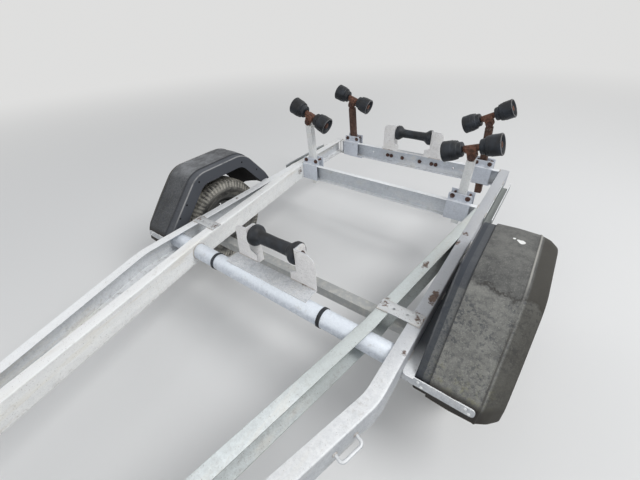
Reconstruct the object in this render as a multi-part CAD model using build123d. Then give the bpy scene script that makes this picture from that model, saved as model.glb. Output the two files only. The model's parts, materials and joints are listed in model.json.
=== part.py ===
"""Boat trailer: channel rails, one axle, keel rollers, tilting hull rollers, winch post and jockey wheel.

Millimetres, +X to the right, +Y to the rear, +Z up, origin on the ground under the middle of the box.
"""
from build123d import *
import math
import os

os.makedirs("parts", exist_ok=True)

# Heights and stations of the whole trailer
RAIL_TOP = 437.0
RAIL_REAR_Y = 2020.0
BEND_Y = 289.0
TUBE_Y = 478.0
KINK_Y = 503.0
WHEEL_Y = 859.0
AXLE_Y = 697.0
C_FRONT_Y = 1475.0
C_REAR_Y = 1977.0

# Clearances
SEAT = 0.3
RUN = 0.05

# Outer rails: straight at the rear, one bend each, then in to the nose
RAIL_HALF = 635.0
RAIL_HEIGHT = 100.0
RAIL_FLANGE = 50.0
RAIL_T = 4.0
RAIL_R = 6.0
BEND_R = 250.0
TIP_HALF = 70.4
RAIL_TIP_Y = -1680.0
WEB_HOLE_BACK = 90.0
WEB_HOLE_R = 6.5
RAIL_BOTTOM = RAIL_TOP - RAIL_HEIGHT
RAIL_MID = RAIL_TOP - RAIL_HEIGHT / 2
BEND = math.atan((RAIL_HALF - TIP_HALF) / (BEND_Y - RAIL_TIP_Y))
RAIL_LIP_X = RAIL_HALF - RAIL_FLANGE

# Inner rails: web on the centre side, one kink each, ends against the outer rails' lips
INNER_SET_IN = 185.0
INNER_FLANGE = 50.0
INNER_TIP_Y = RAIL_TIP_Y + 234.0
INNER_JOIN_Y = 1563.0
INNER_HALF_KINK = RAIL_HALF - INNER_SET_IN

# Cross tube and its rubber bands
TUBE_R = 38.0
TUBE_WALL = 4.0
TUBE_Z = RAIL_MID
BAND_X = 302.0
BAND_W = 16.0
BAND_T = 3.0
BAND_FIT = 0.1

# Tie strips between the rails
TIE_Y = 617.5
TIE_W = 53.0
TIE_T = 4.0
TIE_HOLE_R = 5.0
TIE_HOLE_IN = 56.0
TIE_LAP = 8.0

# Rear cross members, with the slots and holes of the rearmost one's web
CROSS_DEPTH = 32.0
CROSS_T = 4.0
CROSS_R = 6.0
SLOT_X = 162.0
SLOT_LEN = 26.0
SLOT_R = 5.5
INNER_HOLE_X = 61.0
OUTER_HOLE_X = 303.0

# Axle beam, saddles, arms and spindles
BEAM = 50.0
BEAM_T = 4.0
BEAM_Z = RAIL_TOP - 168.0
BEAM_HALF = RAIL_HALF + 17.0
SADDLE_T = 6.0
SADDLE_W = 46.0
SADDLE_IN = 7.0
SADDLE_HALF = 75.0
SADDLE_GRIP = 8.0
ARM_T = 22.0
ARM_BOSS_R = 36.0
ARM_END_R = 28.0
ARM_INSET = 2.0
WHEEL_Z = 262.0
WHEEL_X = BEAM_HALF + 122.0
SPINDLE_R = 15.0
SPINDLE_X1 = WHEEL_X + 6.0

# Wheels
TYRE_R = 262.0
TYRE_W = 156.0
RIM_R = 152.4
HUB_R = 38.0
HUB_FLANGE_R = 62.0
STUD_PCD = 100.0
STUD_R = 6.0
NUT_R = 10.5
STUD_COUNT = 4
VENT_COUNT = 10
VENT_R = 10.0
VENT_RING_R = 100.0

# Mudguards: arch points from the wheel's station and the rails' top, each with its corner radius
GUARD_X0 = WHEEL_X - 100.0
GUARD_STEP_X = GUARD_X0 + 46.0
GUARD_CREASE_X = GUARD_X0 + 194.0
GUARD_X1 = GUARD_X0 + 255.0
GUARD_T = 4.0
GUARD_STEP = 7.0
GUARD_DROP = 32.0
GUARD_WALL = 68.0
GUARD_LIP = 34.0
GUARD_MIN_R = 12.0
GUARD_ARCH = [
    {"y": -415.0, "z": -118.0, "r": 0.0},
    {"y": -402.0, "z": -50.0, "r": 70.0},
    {"y": -146.0, "z": 208.0, "r": 150.0},
    {"y": 205.0, "z": 208.0, "r": 150.0},
    {"y": 352.0, "z": 26.0, "r": 160.0},
    {"y": 424.0, "z": -118.0, "r": 0.0},
]

# Mudguard irons: an angle along the rail, a strap across the guard's front and a tab at its rear
IRON_T = 4.0
IRON_Z = RAIL_TOP - 62.0
IRON_Y1 = WHEEL_Y + 320.0
IRON_LEG = 34.0
STRAP_W = 30.0
STRAP_X1 = GUARD_X1 - 67.0
TAB_Y0 = WHEEL_Y + 165.0
TAB_Y1 = WHEEL_Y + 342.0
TAB_END = 30.0
TAB_DOWN = 20.0

# Posts, clamps and rockers: one row for each clamped post, heights from the rails' top
POST = 40.0
POST_T = 3.0
CLAMP_W = 124.0
CLAMP_T = 4.0
CLAMP_SET_BACK = 22.0
CLAMP_RISE = 44.0
CLAMP_CORNER_R = 12.0
CLAMP_BOLT_X = 40.0
CLAMP_BOLT_Z = 26.0
BOLT_R = 6.0
BOLT_HEAD_R = 9.5
BOLT_HEAD = 7.0
BOLT_TAIL = 16.0
LUG_T = 12.0
LUG_R = 17.0
LUG_NECK = 5.0
PIN_R = 8.0
PIN_HALF = 33.0
PIN_HEAD = 7.0
PIN_HEAD_R = 13.0
POSTS = [
    {"name": "front_right", "side": 1, "lips_y": C_FRONT_Y, "in": 149.0, "pivot_in": 144.0, "pivot_z": 246.0,
     "tilt": 18.0, "foot_z": -150.0},
    {"name": "front_left", "side": -1, "lips_y": C_FRONT_Y, "in": 119.0, "pivot_in": 101.0, "pivot_z": 279.0,
     "tilt": 22.0, "foot_z": -150.0},
    {"name": "rear_right", "side": 1, "lips_y": C_REAR_Y, "in": 157.0, "pivot_in": 182.0, "pivot_z": 262.0,
     "tilt": 28.0, "foot_z": -190.0},
    {"name": "rear_left", "side": -1, "lips_y": C_REAR_Y, "in": 145.0, "pivot_in": 121.0, "pivot_z": 268.0,
     "tilt": 18.0, "foot_z": -190.0},
]

# Rockers and hull rollers, from the pivot and from the middle of the cross rod
CHEEK_R = 20.0
CHEEK_T = 19.4
CHEEK_GAP = LUG_T / 2 + SEAT
CROWN_HALF = 26.0
CROWN_DOWN = 16.0
CROWN_UP = 8.0
BARREL_HALF = 38.0
BARREL_R = 17.0
ROD_R = 8.0
ROD_UP = 40.0
ROD_NUT_R = 14.0
ROD_SHY = 12.0
ROLLER_NEAR = 44.0
ROLLER_STEP = 66.0
ROLLER_FAR = 148.0
ROLLER_SMALL_R = 32.0
ROLLER_NECK_R = 50.0
ROLLER_BIG_R = 59.0
CUP_R = 46.0
CUP_DEPTH = 24.0

# Keel rollers and their brackets; one row for each ear, outline from the centre line and the base
KEEL_HALF = 130.0
KEEL_END = 2.0
EAR_T = 5.0
EAR_FOOT = 34.0
EAR_FOOT_Z = 60.0
KEEL_AXIS_Z = 124.0
KEEL_AXIS_BACK = 35.0
KEEL_AXIS_RISE = 20.0
KEEL_LEG_R = 30.0
KEEL_R = 48.0
KEEL_MID_R = 27.0
KEEL_PIN_R = 9.0
KEEL_NUT_R = 15.0
KEEL_NUT = 8.0
KEEL_FRONT_Y = 544.0
KEEL_REAR_Y = C_REAR_Y + 2.0
KEEL_BASE_HALF = 227.0
KEEL_SINK = 40.0
EARS = [
    {"bracket": "front", "side": 1, "outline": [(226.0, 0.0), (229.0, 118.0), (226.0, 140.0), (218.0, 154.0),
                                                (206.0, 165.0), (186.0, 174.0), (130.0, 176.0)]},
    {"bracket": "front", "side": -1, "outline": [(216.0, 0.0), (199.0, 146.0), (192.0, 160.0), (176.0, 171.0),
                                                 (130.0, 175.0)]},
    {"bracket": "rear", "side": 1, "outline": [(216.0, 0.0), (212.0, 156.0), (205.0, 167.0), (188.0, 178.0),
                                               (130.0, 181.0)]},
    {"bracket": "rear", "side": -1, "outline": [(213.0, 0.0), (210.0, 155.0), (203.0, 167.0), (185.0, 177.0),
                                                (130.0, 181.0)]},
]

# Light board sleeves outside the rails
SLEEVE_W = 40.0
SLEEVE_H = 46.0
SLEEVE_T = 4.0
SLEEVE_DOWN = 4.0
SLEEVE_Y0 = 1404.0
SLEEVE_Y1 = 1865.0

# Lashing loops
LOOP_R = 5.0
LOOP_OUT = 30.0
LOOP_LEN = 76.0
LOOP_Y = 128.0
LOOP_BEND_R = 12.0

# Nose beam, head plates and coupling
NOSE_W = 70.0
NOSE_H = RAIL_HEIGHT - 2 * RAIL_T - 2 * SEAT
NOSE_T = 4.0
NOSE_AHEAD = 280.0
NOSE_BACK = 210.0
NOSE_Y0 = RAIL_TIP_Y - NOSE_AHEAD
NOSE_Y1 = RAIL_TIP_Y + NOSE_BACK
HEAD_T = 5.0
HEAD_Y0 = RAIL_TIP_Y - 20.0
HEAD_Y1 = RAIL_TIP_Y + 240.0
BALL_R = 25.3
CUP_LEN = 24.0
CUP_OUTER_R = 36.0
CUP_RISE = 12.0
CUP_TOP = 14.0
CUP_LOW = 34.0
COUPLING_Y = NOSE_Y0 - 102.0
COUPLING_HALF = 45.0
COUPLING_T = 7.0
NECK_HALF = 24.0
HANDLE_HALF = 15.0

# Winch post with its base plate and bow stop
WINCH_Y = RAIL_TIP_Y + 570.0
WINCH_POST = 60.0
WINCH_POST_T = 4.0
WINCH_TOP = RAIL_TOP + 560.0
WINCH_BASE_T = 6.0
WINCH_BASE_HALF = 50.0
GUSSET_FOOT = 18.0
GUSSET_RISE = 60.0
BOW_Z = WINCH_TOP - 60.0
BOW_Y = WINCH_Y + 168.0
BOW_HALF = 60.0
BOW_PIN_R = 8.0
BOW_R = 40.0
BOW_MID_R = 18.0
YOKE_HALF = 68.0
YOKE_T = 6.0
YOKE_RISE = 24.0
YOKE_Y0 = WINCH_Y + 104.0
YOKE_Y1 = BOW_Y + 22.0

# Winch: frame, drum and crank
WINCH_Z = RAIL_TOP + 400.0
DRUM_Y = WINCH_Y + WINCH_POST / 2 + 60.0
FRAME_HALF = 52.0
FRAME_T = 5.0
FRAME_RISE = 55.0
FRAME_REACH = 48.0
SHAFT_R = 11.0
SHAFT_X0 = -54.0
CRANK_X0 = 84.0
CRANK_T = 8.0
CRANK_UP = 178.0
DRUM_R = 20.0
DRUM_FLANGE_R = 40.0
DRUM_HALF = 44.0
GRIP_ROD_R = 6.0
GRIP_R = 14.0
GRIP_LEN = 90.0
GRIP_FIT = 0.2

# Jockey wheel: clamp on the left rail, outer tube, sliding leg, swivelling fork and wheel
JOCKEY_OUT = 45.795
JOCKEY_Y = RAIL_TIP_Y + 90.0
JOCKEY_TUBE_R = 24.0
JOCKEY_INNER_R = 20.0
JOCKEY_CLAMP_T = 8.0
JOCKEY_CLAMP_HALF = 30.0
JOCKEY_CLAMP_W = 14.0
JOCKEY_WHEEL_R = 100.0
JOCKEY_TREAD_HALF = 25.0
JOCKEY_BED_R = 70.0
JOCKEY_BED_HALF = 22.0
JOCKEY_BOSS_HALF = 29.0
JOCKEY_LEG_Z = 218.0
JOCKEY_LEG_LEN = 289.0
JOCKEY_TUBE_Z = 302.0
JOCKEY_TUBE_TOP = RAIL_TOP + 250.0
JOCKEY_TRAIL = 40.0
JOCKEY_AXLE_R = 8.0
JOCKEY_AXLE_HALF = 42.0
FORK_GAP = 0.5
FORK_T = 4.0
FORK_HALF = 35.0
FORK_CROWN = 8.0
FORK_CROWN_R = 26.0
FORK_PIN_R = 9.0
FORK_PIN = 50.0
JOCKEY_CRANK_R = 70.0
JOCKEY_CRANK_UP = 27.0


def block(x0, x1, y0, y1, z0, z1):
    """Return a box between the given limits."""
    return Pos((x0 + x1) / 2, (y0 + y1) / 2, (z0 + z1) / 2) * Box(x1 - x0, y1 - y0, z1 - z0)


def rod(start, end, radius):
    """Return a round bar between two points."""
    a = Vector(*start)
    b = Vector(*end)
    plane = Plane(origin=a, z_dir=b - a)
    return extrude(plane * Circle(radius), (b - a).length)


def mirrored(shape):
    """Return the shape mirrored to the other side of the trailer."""
    return mirror(shape, about=Plane.YZ)


def joined(shapes):
    """Return the union of a list of shapes."""
    total = shapes[0]
    for shape in shapes[1:]:
        total = total + shape
    return total


def group(shapes):
    """Return separate shapes as one compound."""
    return Compound(children=[s for shape in shapes for s in shape.solids()])


def save(shape, name):
    """Write one node as a STEP file."""
    export_step(shape, "parts/" + name + ".step")


def prism(points, z0, z1):
    """Return a vertical prism over a plan polygon."""
    face = make_face(Polyline(*points, close=True))
    return extrude(Pos(0, 0, z0) * face, z1 - z0)


def side_prism(points, x0, x1):
    """Return a prism along X over a polygon of (y, z) points."""
    plane = Plane(origin=(x0, 0, 0), x_dir=(0, 1, 0), z_dir=(1, 0, 0))
    return extrude(plane * make_face(Polyline(*points, close=True)), x1 - x0)


def front_prism(points, y0, y1):
    """Return a prism along Y over a polygon of (x, z) points."""
    plane = Plane(origin=(0, y0, 0), x_dir=(1, 0, 0), z_dir=(0, -1, 0))
    return extrude(plane * make_face(Polyline(*points, close=True)), -(y1 - y0))


# Outer rails: plan curves at an offset from the outer face of the web
ARC_Y = BEND_Y + BEND_R * math.tan(BEND / 2)
FRONT_RUN = (BEND_Y - RAIL_TIP_Y) / math.cos(BEND) + RAIL_HEIGHT


def rail_curve(offset):
    """Return the plan points of the rail line at an offset inward from its outer face."""
    radius = BEND_R - offset
    cx = RAIL_HALF - BEND_R
    rear = (RAIL_HALF - offset, RAIL_REAR_Y)
    start = (RAIL_HALF - offset, ARC_Y)
    middle = (cx + radius * math.cos(BEND / 2), ARC_Y - radius * math.sin(BEND / 2))
    end = (cx + radius * math.cos(BEND), ARC_Y - radius * math.sin(BEND))
    tip = (end[0] - FRONT_RUN * math.sin(BEND), end[1] - FRONT_RUN * math.cos(BEND))
    return rear, start, middle, end, tip


def rail_band(offset0, offset1, z0, z1):
    """Return the solid between two offsets of the rail line."""
    a = rail_curve(offset0)
    b = rail_curve(offset1)
    wire = Wire([
        Line(a[0], a[1]).edge(),
        ThreePointArc(a[1], a[2], a[3]).edge(),
        Line(a[3], a[4]).edge(),
        Line(a[4], b[4]).edge(),
        Line(b[4], b[3]).edge(),
        ThreePointArc(b[3], b[2], b[1]).edge(),
        Line(b[1], b[0]).edge(),
        Line(b[0], a[0]).edge(),
    ])
    return extrude(Pos(0, 0, z0) * Face(wire), z1 - z0, dir=(0, 0, 1))


def outer_face_x(y):
    """Return the half width over the outer rails' webs at a station ahead of the bend."""
    return RAIL_HALF - (BEND_Y - y) * math.tan(BEND)


def on_rail_face(edge):
    """Return whether an edge runs along the top or bottom of the outer rail's outer face."""
    middle = edge @ 0.5
    level = abs(abs(middle.Z - RAIL_MID) - RAIL_HEIGHT / 2) < SEAT
    if middle.Y > ARC_Y:
        near = RAIL_HALF - middle.X
    elif middle.Y > ARC_Y - BEND_R * math.sin(BEND):
        near = BEND_R - math.hypot(middle.X - RAIL_HALF + BEND_R, middle.Y - ARC_Y)
    else:
        near = (outer_face_x(middle.Y) - middle.X) * math.cos(BEND)
    return level and abs(near) < 1.0 and edge.length > RAIL_FLANGE


channel = rail_band(0, RAIL_FLANGE, RAIL_BOTTOM, RAIL_TOP)
channel = fillet(channel.edges().filter_by(on_rail_face), RAIL_R)
hollow = rail_band(RAIL_T, RAIL_FLANGE + 1, RAIL_BOTTOM + RAIL_T, RAIL_TOP - RAIL_T)
outer_rail = channel - hollow
tip_cut = block(-RAIL_HALF, RAIL_HALF, RAIL_TIP_Y - 2 * RAIL_HALF, RAIL_TIP_Y, RAIL_BOTTOM - 1, RAIL_TOP + 1)
outer_rail = outer_rail - tip_cut
hole_y = RAIL_REAR_Y - WEB_HOLE_BACK
outer_rail = outer_rail - rod((RAIL_LIP_X, hole_y, RAIL_MID), (RAIL_HALF + 1, hole_y, RAIL_MID), WEB_HOLE_R)
save(outer_rail, "outer_rail_right")
save(mirrored(outer_rail), "outer_rail_left")

# Inner rails: straight each side of one kink, cut to the outer rails
INNER_FRONT_X = outer_face_x(INNER_TIP_Y) - RAIL_FLANGE / math.cos(BEND)
INNER_REAR_Y = C_FRONT_Y - CLAMP_T - 2 * SEAT
INNER_REAR_SLOPE = (RAIL_LIP_X - SEAT - INNER_HALF_KINK) / (INNER_JOIN_Y - KINK_Y)
INNER_REAR_X = INNER_HALF_KINK + (INNER_REAR_Y - KINK_Y) * INNER_REAR_SLOPE


def inner_prism(offset0, offset1, z0, z1):
    """Return the solid between two offsets outward from the inner rails' web face."""
    points = [
        (INNER_FRONT_X + offset0, INNER_TIP_Y),
        (INNER_HALF_KINK + offset0, KINK_Y),
        (INNER_REAR_X + offset0, INNER_REAR_Y),
        (INNER_REAR_X + offset1, INNER_REAR_Y),
        (INNER_HALF_KINK + offset1, KINK_Y),
        (INNER_FRONT_X + offset1, INNER_TIP_Y),
    ]
    return prism(points, z0, z1)


def on_inner_face(edge):
    """Return whether an edge runs along the top or bottom of the inner rail's web."""
    middle = edge @ 0.5
    if middle.Y < KINK_Y:
        line_x = INNER_FRONT_X + (middle.Y - INNER_TIP_Y) * (INNER_HALF_KINK - INNER_FRONT_X) / (KINK_Y - INNER_TIP_Y)
    else:
        line_x = INNER_HALF_KINK + (middle.Y - KINK_Y) * INNER_REAR_SLOPE
    level = abs(abs(middle.Z - RAIL_MID) - RAIL_HEIGHT / 2) < SEAT
    return level and abs(middle.X - line_x) < 1.0 and edge.length > RAIL_FLANGE + 1


inner_rail = inner_prism(0, INNER_FLANGE, RAIL_BOTTOM, RAIL_TOP)
inner_rail = fillet(inner_rail.edges().filter_by(on_inner_face), RAIL_R)
inner_rail = inner_rail - inner_prism(RAIL_T, INNER_FLANGE + 1, RAIL_BOTTOM + RAIL_T, RAIL_TOP - RAIL_T)
inner_rail = inner_rail - rail_band(-RAIL_HEIGHT * 2, RAIL_FLANGE + SEAT, RAIL_BOTTOM - 1, RAIL_TOP + 1)
inner_rail = inner_rail - rod((0, TUBE_Y, TUBE_Z), (RAIL_HALF, TUBE_Y, TUBE_Z), TUBE_R + SEAT)
save(inner_rail, "inner_rail_right")
save(mirrored(inner_rail), "inner_rail_left")

# Round cross tube and two rubber bands
tube_half = RAIL_HALF - RAIL_T - SEAT
cross_tube = rod((-tube_half, TUBE_Y, TUBE_Z), (tube_half, TUBE_Y, TUBE_Z), TUBE_R)
cross_tube = cross_tube - rod((-tube_half - 1, TUBE_Y, TUBE_Z), (tube_half + 1, TUBE_Y, TUBE_Z), TUBE_R - TUBE_WALL)
save(cross_tube, "cross_tube")
band = rod((BAND_X - BAND_W / 2, TUBE_Y, TUBE_Z), (BAND_X + BAND_W / 2, TUBE_Y, TUBE_Z), TUBE_R + BAND_T)
band = band - rod((BAND_X - BAND_W, TUBE_Y, TUBE_Z), (BAND_X + BAND_W, TUBE_Y, TUBE_Z), TUBE_R + BAND_FIT)
save(group([band, mirrored(band)]), "tube_bands")

# Flat ties on top of the rails, beside the axle
tie_y0 = TIE_Y - TIE_W / 2
tie_x0 = INNER_HALF_KINK + (tie_y0 - KINK_Y) * INNER_REAR_SLOPE + RAIL_T
tie_x1 = RAIL_HALF - TIE_LAP
tie = block(tie_x0, tie_x1, tie_y0, tie_y0 + TIE_W, RAIL_TOP, RAIL_TOP + TIE_T)
for x in (tie_x0 + TIE_HOLE_IN, tie_x1 - TIE_HOLE_IN + 2.0):
    tie = tie - rod((x, TIE_Y, RAIL_TOP - 1), (x, TIE_Y, RAIL_TOP + TIE_T + 1), TIE_HOLE_R)
save(group([tie, mirrored(tie)]), "rail_ties")

# Rear cross members, open to the front
cross_half = RAIL_LIP_X - SEAT


def cross_member(y):
    """Return a cross channel whose lips lie at the given station."""
    back = y + CROSS_DEPTH
    outer = block(-cross_half, cross_half, y, back, RAIL_BOTTOM, RAIL_TOP)
    outer = fillet(outer.edges().filter_by(Axis.X).group_by(Axis.Y)[-1], CROSS_R)
    return outer - block(-cross_half - 1, cross_half + 1, y - 1, back - CROSS_T, RAIL_BOTTOM + CROSS_T, RAIL_TOP - CROSS_T)


save(cross_member(C_FRONT_Y), "cross_member_front")
rear_member = cross_member(C_REAR_Y)
web_back = C_REAR_Y + CROSS_DEPTH + 1
web_plane = Plane(origin=(0, web_back, RAIL_MID), x_dir=(1, 0, 0), z_dir=(0, -1, 0))
web_cut = CROSS_T + 2
for x in (-SLOT_X, SLOT_X):
    rear_member = rear_member - extrude(web_plane * Pos(x, 0) * SlotOverall(SLOT_LEN, 2 * SLOT_R), web_cut)
for x in (-INNER_HOLE_X, INNER_HOLE_X, -OUTER_HOLE_X, OUTER_HOLE_X):
    rear_member = rear_member - extrude(web_plane * Pos(x, 0) * Circle(SLOT_R), web_cut)
save(rear_member, "cross_member_rear")

# Axle beam, its saddles, arms and spindles
half = BEAM / 2
axle_beam = block(-BEAM_HALF, BEAM_HALF, AXLE_Y - half, AXLE_Y + half, BEAM_Z - half, BEAM_Z + half)
bore = half - BEAM_T
axle_beam = axle_beam - block(-BEAM_HALF - 1, BEAM_HALF + 1, AXLE_Y - bore, AXLE_Y + bore, BEAM_Z - bore, BEAM_Z + bore)
save(axle_beam, "axle_beam")

saddle_top = RAIL_BOTTOM - SEAT
saddle_x1 = RAIL_HALF - SADDLE_IN
saddle_x0 = saddle_x1 - SADDLE_W
saddle = block(saddle_x0, saddle_x1, AXLE_Y - SADDLE_HALF, AXLE_Y + SADDLE_HALF, saddle_top - SADDLE_T, saddle_top)
for y in (AXLE_Y - half - SADDLE_T - SEAT, AXLE_Y + half + SEAT):
    saddle = saddle + block(saddle_x0, saddle_x1, y, y + SADDLE_T, BEAM_Z - half + SADDLE_GRIP, saddle_top - SEAT)
rib_x = (saddle_x0 + saddle_x1) / 2
saddle = saddle + block(rib_x - SADDLE_T / 2, rib_x + SADDLE_T / 2, AXLE_Y - SADDLE_HALF + SADDLE_T,
                        AXLE_Y + SADDLE_HALF - SADDLE_T, BEAM_Z + half + SEAT, saddle_top - SEAT)
save(group([saddle, mirrored(saddle)]), "axle_saddles")

arm_x0 = BEAM_HALF + SEAT
arm_x1 = arm_x0 + ARM_T
arm = rod((arm_x0, AXLE_Y, BEAM_Z), (arm_x1, AXLE_Y, BEAM_Z), ARM_BOSS_R)
arm = arm + rod((arm_x0, WHEEL_Y, WHEEL_Z), (arm_x1 + RAIL_T, WHEEL_Y, WHEEL_Z), ARM_END_R)
boss = ARM_BOSS_R - 2 * ARM_INSET
end = ARM_END_R - 2 * ARM_INSET
arm = arm + side_prism([(AXLE_Y, BEAM_Z - boss), (WHEEL_Y, WHEEL_Z - end), (WHEEL_Y, WHEEL_Z + end), (AXLE_Y, BEAM_Z + boss)],
                       arm_x0 + ARM_INSET, arm_x1 - ARM_INSET)
arm = arm + rod((arm_x1, WHEEL_Y, WHEEL_Z), (SPINDLE_X1, WHEEL_Y, WHEEL_Z), SPINDLE_R)
save(group([arm, mirrored(arm)]), "axle_arms")


# Wheels: hub, rim and tyre about the spindle, as points of (radius, place along the axle)
def revolved(points, x, y, z):
    """Return the solid of (radius, along) points turned about a line along X."""
    plane = Plane(origin=(x, y, z), x_dir=(1, 0, 0), z_dir=(0, -1, 0))
    face = plane * make_face(Polyline(*[(p[1], p[0]) for p in points], close=True))
    return revolve(face, Axis((x, y, z), (1, 0, 0)), 360)


def around(radius, count, start):
    """Return places round the wheel's axle as (y, z)."""
    angles = [math.radians(360.0 / count * i + start) for i in range(count)]
    return [(WHEEL_Y + radius * math.cos(a), WHEEL_Z + radius * math.sin(a)) for a in angles]


bore_r = SPINDLE_R + RUN
hub = revolved([(bore_r, -88), (HUB_R - 4, -88), (HUB_R, -82), (HUB_R, -34), (HUB_FLANGE_R, -30), (HUB_FLANGE_R, -20),
                (HUB_R, -20), (HUB_R - 4, 18), (24, 24), (0, 24), (0, 8), (bore_r, 8)], WHEEL_X, WHEEL_Y, WHEEL_Z)
disc_x = -20.0 + SEAT
disc = [
    (HUB_R + 1.0, disc_x), (RIM_R - 34, disc_x), (RIM_R - 18, disc_x + 16), (RIM_R - 17, disc_x + 30),
    (RIM_R - 17, 34), (RIM_R - 2, 40), (RIM_R - 2, 52), (RIM_R + 14, 54), (RIM_R + 14, 56), (RIM_R - 5, 56),
    (RIM_R - 5, 43), (RIM_R - 21, 36), (RIM_R - 21, 8), (RIM_R - 24, disc_x + 20),
    (RIM_R - 36, disc_x + 4), (HUB_R + 1.0, disc_x + 4),
]
barrel = [
    (RIM_R - 21, -10), (RIM_R - 21, -30), (RIM_R - 5, -42), (RIM_R - 5, -56), (RIM_R + 14, -56), (RIM_R + 14, -54),
    (RIM_R - 2, -52), (RIM_R - 2, -40), (RIM_R - 17, -28), (RIM_R - 17, 12), (RIM_R - 21, 12),
]
rim = revolved(disc, WHEEL_X, WHEEL_Y, WHEEL_Z) + revolved(barrel, WHEEL_X, WHEEL_Y, WHEEL_Z)
for y, z in around(VENT_RING_R, VENT_COUNT, 18.0):
    rim = rim - rod((WHEEL_X - 40, y, z), (WHEEL_X + 10, y, z), VENT_R)
for y, z in around(STUD_PCD / 2, STUD_COUNT, 45.0):
    rim = rim - rod((WHEEL_X - 40, y, z), (WHEEL_X + 10, y, z), STUD_R + SEAT)
    hub = hub + rod((WHEEL_X - 25, y, z), (WHEEL_X + 4, y, z), STUD_R)
    hub = hub + rod((WHEEL_X + disc_x + 4 + SEAT, y, z), (WHEEL_X - 4, y, z), NUT_R)
wide = TYRE_W / 2
tyre = revolved([
    (RIM_R - 1.7, -50), (RIM_R - 1.7, 50), (RIM_R + 13, 52), (RIM_R + 18, 60), (RIM_R + 44, wide - 3), (RIM_R + 62, wide),
    (TYRE_R - 26, wide - 4), (TYRE_R - 12, wide - 12), (TYRE_R - 3, wide - 30), (TYRE_R, 20), (TYRE_R, -20),
    (TYRE_R - 3, -wide + 30), (TYRE_R - 12, -wide + 12), (TYRE_R - 26, -wide + 4), (RIM_R + 62, -wide),
    (RIM_R + 44, -wide + 3), (RIM_R + 18, -60), (RIM_R + 13, -52),
], WHEEL_X, WHEEL_Y, WHEEL_Z)
inside = revolved([
    (RIM_R - 3, -44), (RIM_R - 3, 44), (RIM_R + 20, 48), (RIM_R + 44, wide - 14), (TYRE_R - 36, wide - 14), (TYRE_R - 13, 40),
    (TYRE_R - 13, -40), (TYRE_R - 36, -wide + 14), (RIM_R + 44, -wide + 14), (RIM_R + 20, -48),
], WHEEL_X, WHEEL_Y, WHEEL_Z)
tyre = tyre - inside
for shape, name in ((hub, "hub_"), (rim, "rim_"), (tyre, "tyre_")):
    save(shape, name + "right")
    save(mirrored(shape), name + "left")


# Mudguards: an arch of straight runs with rounded corners, stepped along its inner edge
def corner_arc(p0, p1, p2, radius):
    """Return the two tangent points and the middle point of a rounded corner."""
    a = Vector(p0[0] - p1[0], p0[1] - p1[1]).normalized()
    b = Vector(p2[0] - p1[0], p2[1] - p1[1]).normalized()
    angle = math.acos(max(-1.0, min(1.0, a.dot(b))))
    run = radius / math.tan(angle / 2)
    first = (p1[0] + a.X * run, p1[1] + a.Y * run)
    last = (p1[0] + b.X * run, p1[1] + b.Y * run)
    mid = (a + b).normalized()
    reach = radius / math.sin(angle / 2) - radius
    return first, (p1[0] + mid.X * reach, p1[1] + mid.Y * reach), last


def crossing(p, u, q, v):
    """Return where the line from p along u meets the line from q along v."""
    t = ((q[0] - p[0]) * v[1] - (q[1] - p[1]) * v[0]) / (u[0] * v[1] - u[1] * v[0])
    return p[0] + u[0] * t, p[1] + u[1] * t


def guard_wire(drop, x, foot_extra):
    """Return the closed outline of the arch, shrunk by a drop, in the plane at x."""
    points = [(WHEEL_Y + row["y"], RAIL_TOP + row["z"]) for row in GUARD_ARCH]
    lines = []
    for p, q in zip(points[:-1], points[1:]):
        length = math.hypot(q[0] - p[0], q[1] - p[1])
        u = ((q[0] - p[0]) / length, (q[1] - p[1]) / length)
        lines = lines + [((p[0] + u[1] * drop, p[1] - u[0] * drop), u)]
    floor = points[0][1] - foot_extra
    moved = [crossing(lines[0][0], lines[0][1], (0, floor), (1, 0))]
    for first, second in zip(lines[:-1], lines[1:]):
        moved = moved + [crossing(first[0], first[1], second[0], second[1])]
    moved = moved + [crossing(lines[-1][0], lines[-1][1], (0, floor), (1, 0))]

    def at(p):
        """Return a (y, z) place as a point of the plane at x."""
        return (x, p[0], p[1])

    edges = []
    last = moved[0]
    for i in range(1, len(moved) - 1):
        radius = max(GUARD_ARCH[i]["r"] - drop, GUARD_MIN_R)
        a, m, b = corner_arc(moved[i - 1], moved[i], moved[i + 1], radius)
        edges = edges + [Line(at(last), at(a)).edge(), ThreePointArc(at(a), at(m), at(b)).edge()]
        last = b
    edges = edges + [Line(at(last), at(moved[-1])).edge(), Line(at(moved[-1]), at(moved[0])).edge()]
    return Wire(edges)


def guard_slab(drop, x0, x1, foot_extra=0.0):
    """Return the arch shape as a solid between two planes."""
    return extrude(Face(guard_wire(drop, x0, foot_extra)), x1 - x0, dir=(1, 0, 0))


def guard_taper(drop0, drop1, x0, x1, foot_extra=0.0):
    """Return the arch shape shrinking from one drop to another."""
    return Solid.make_loft([guard_wire(drop0, x0, foot_extra), guard_wire(drop1, x1, foot_extra)], ruled=True)


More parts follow.
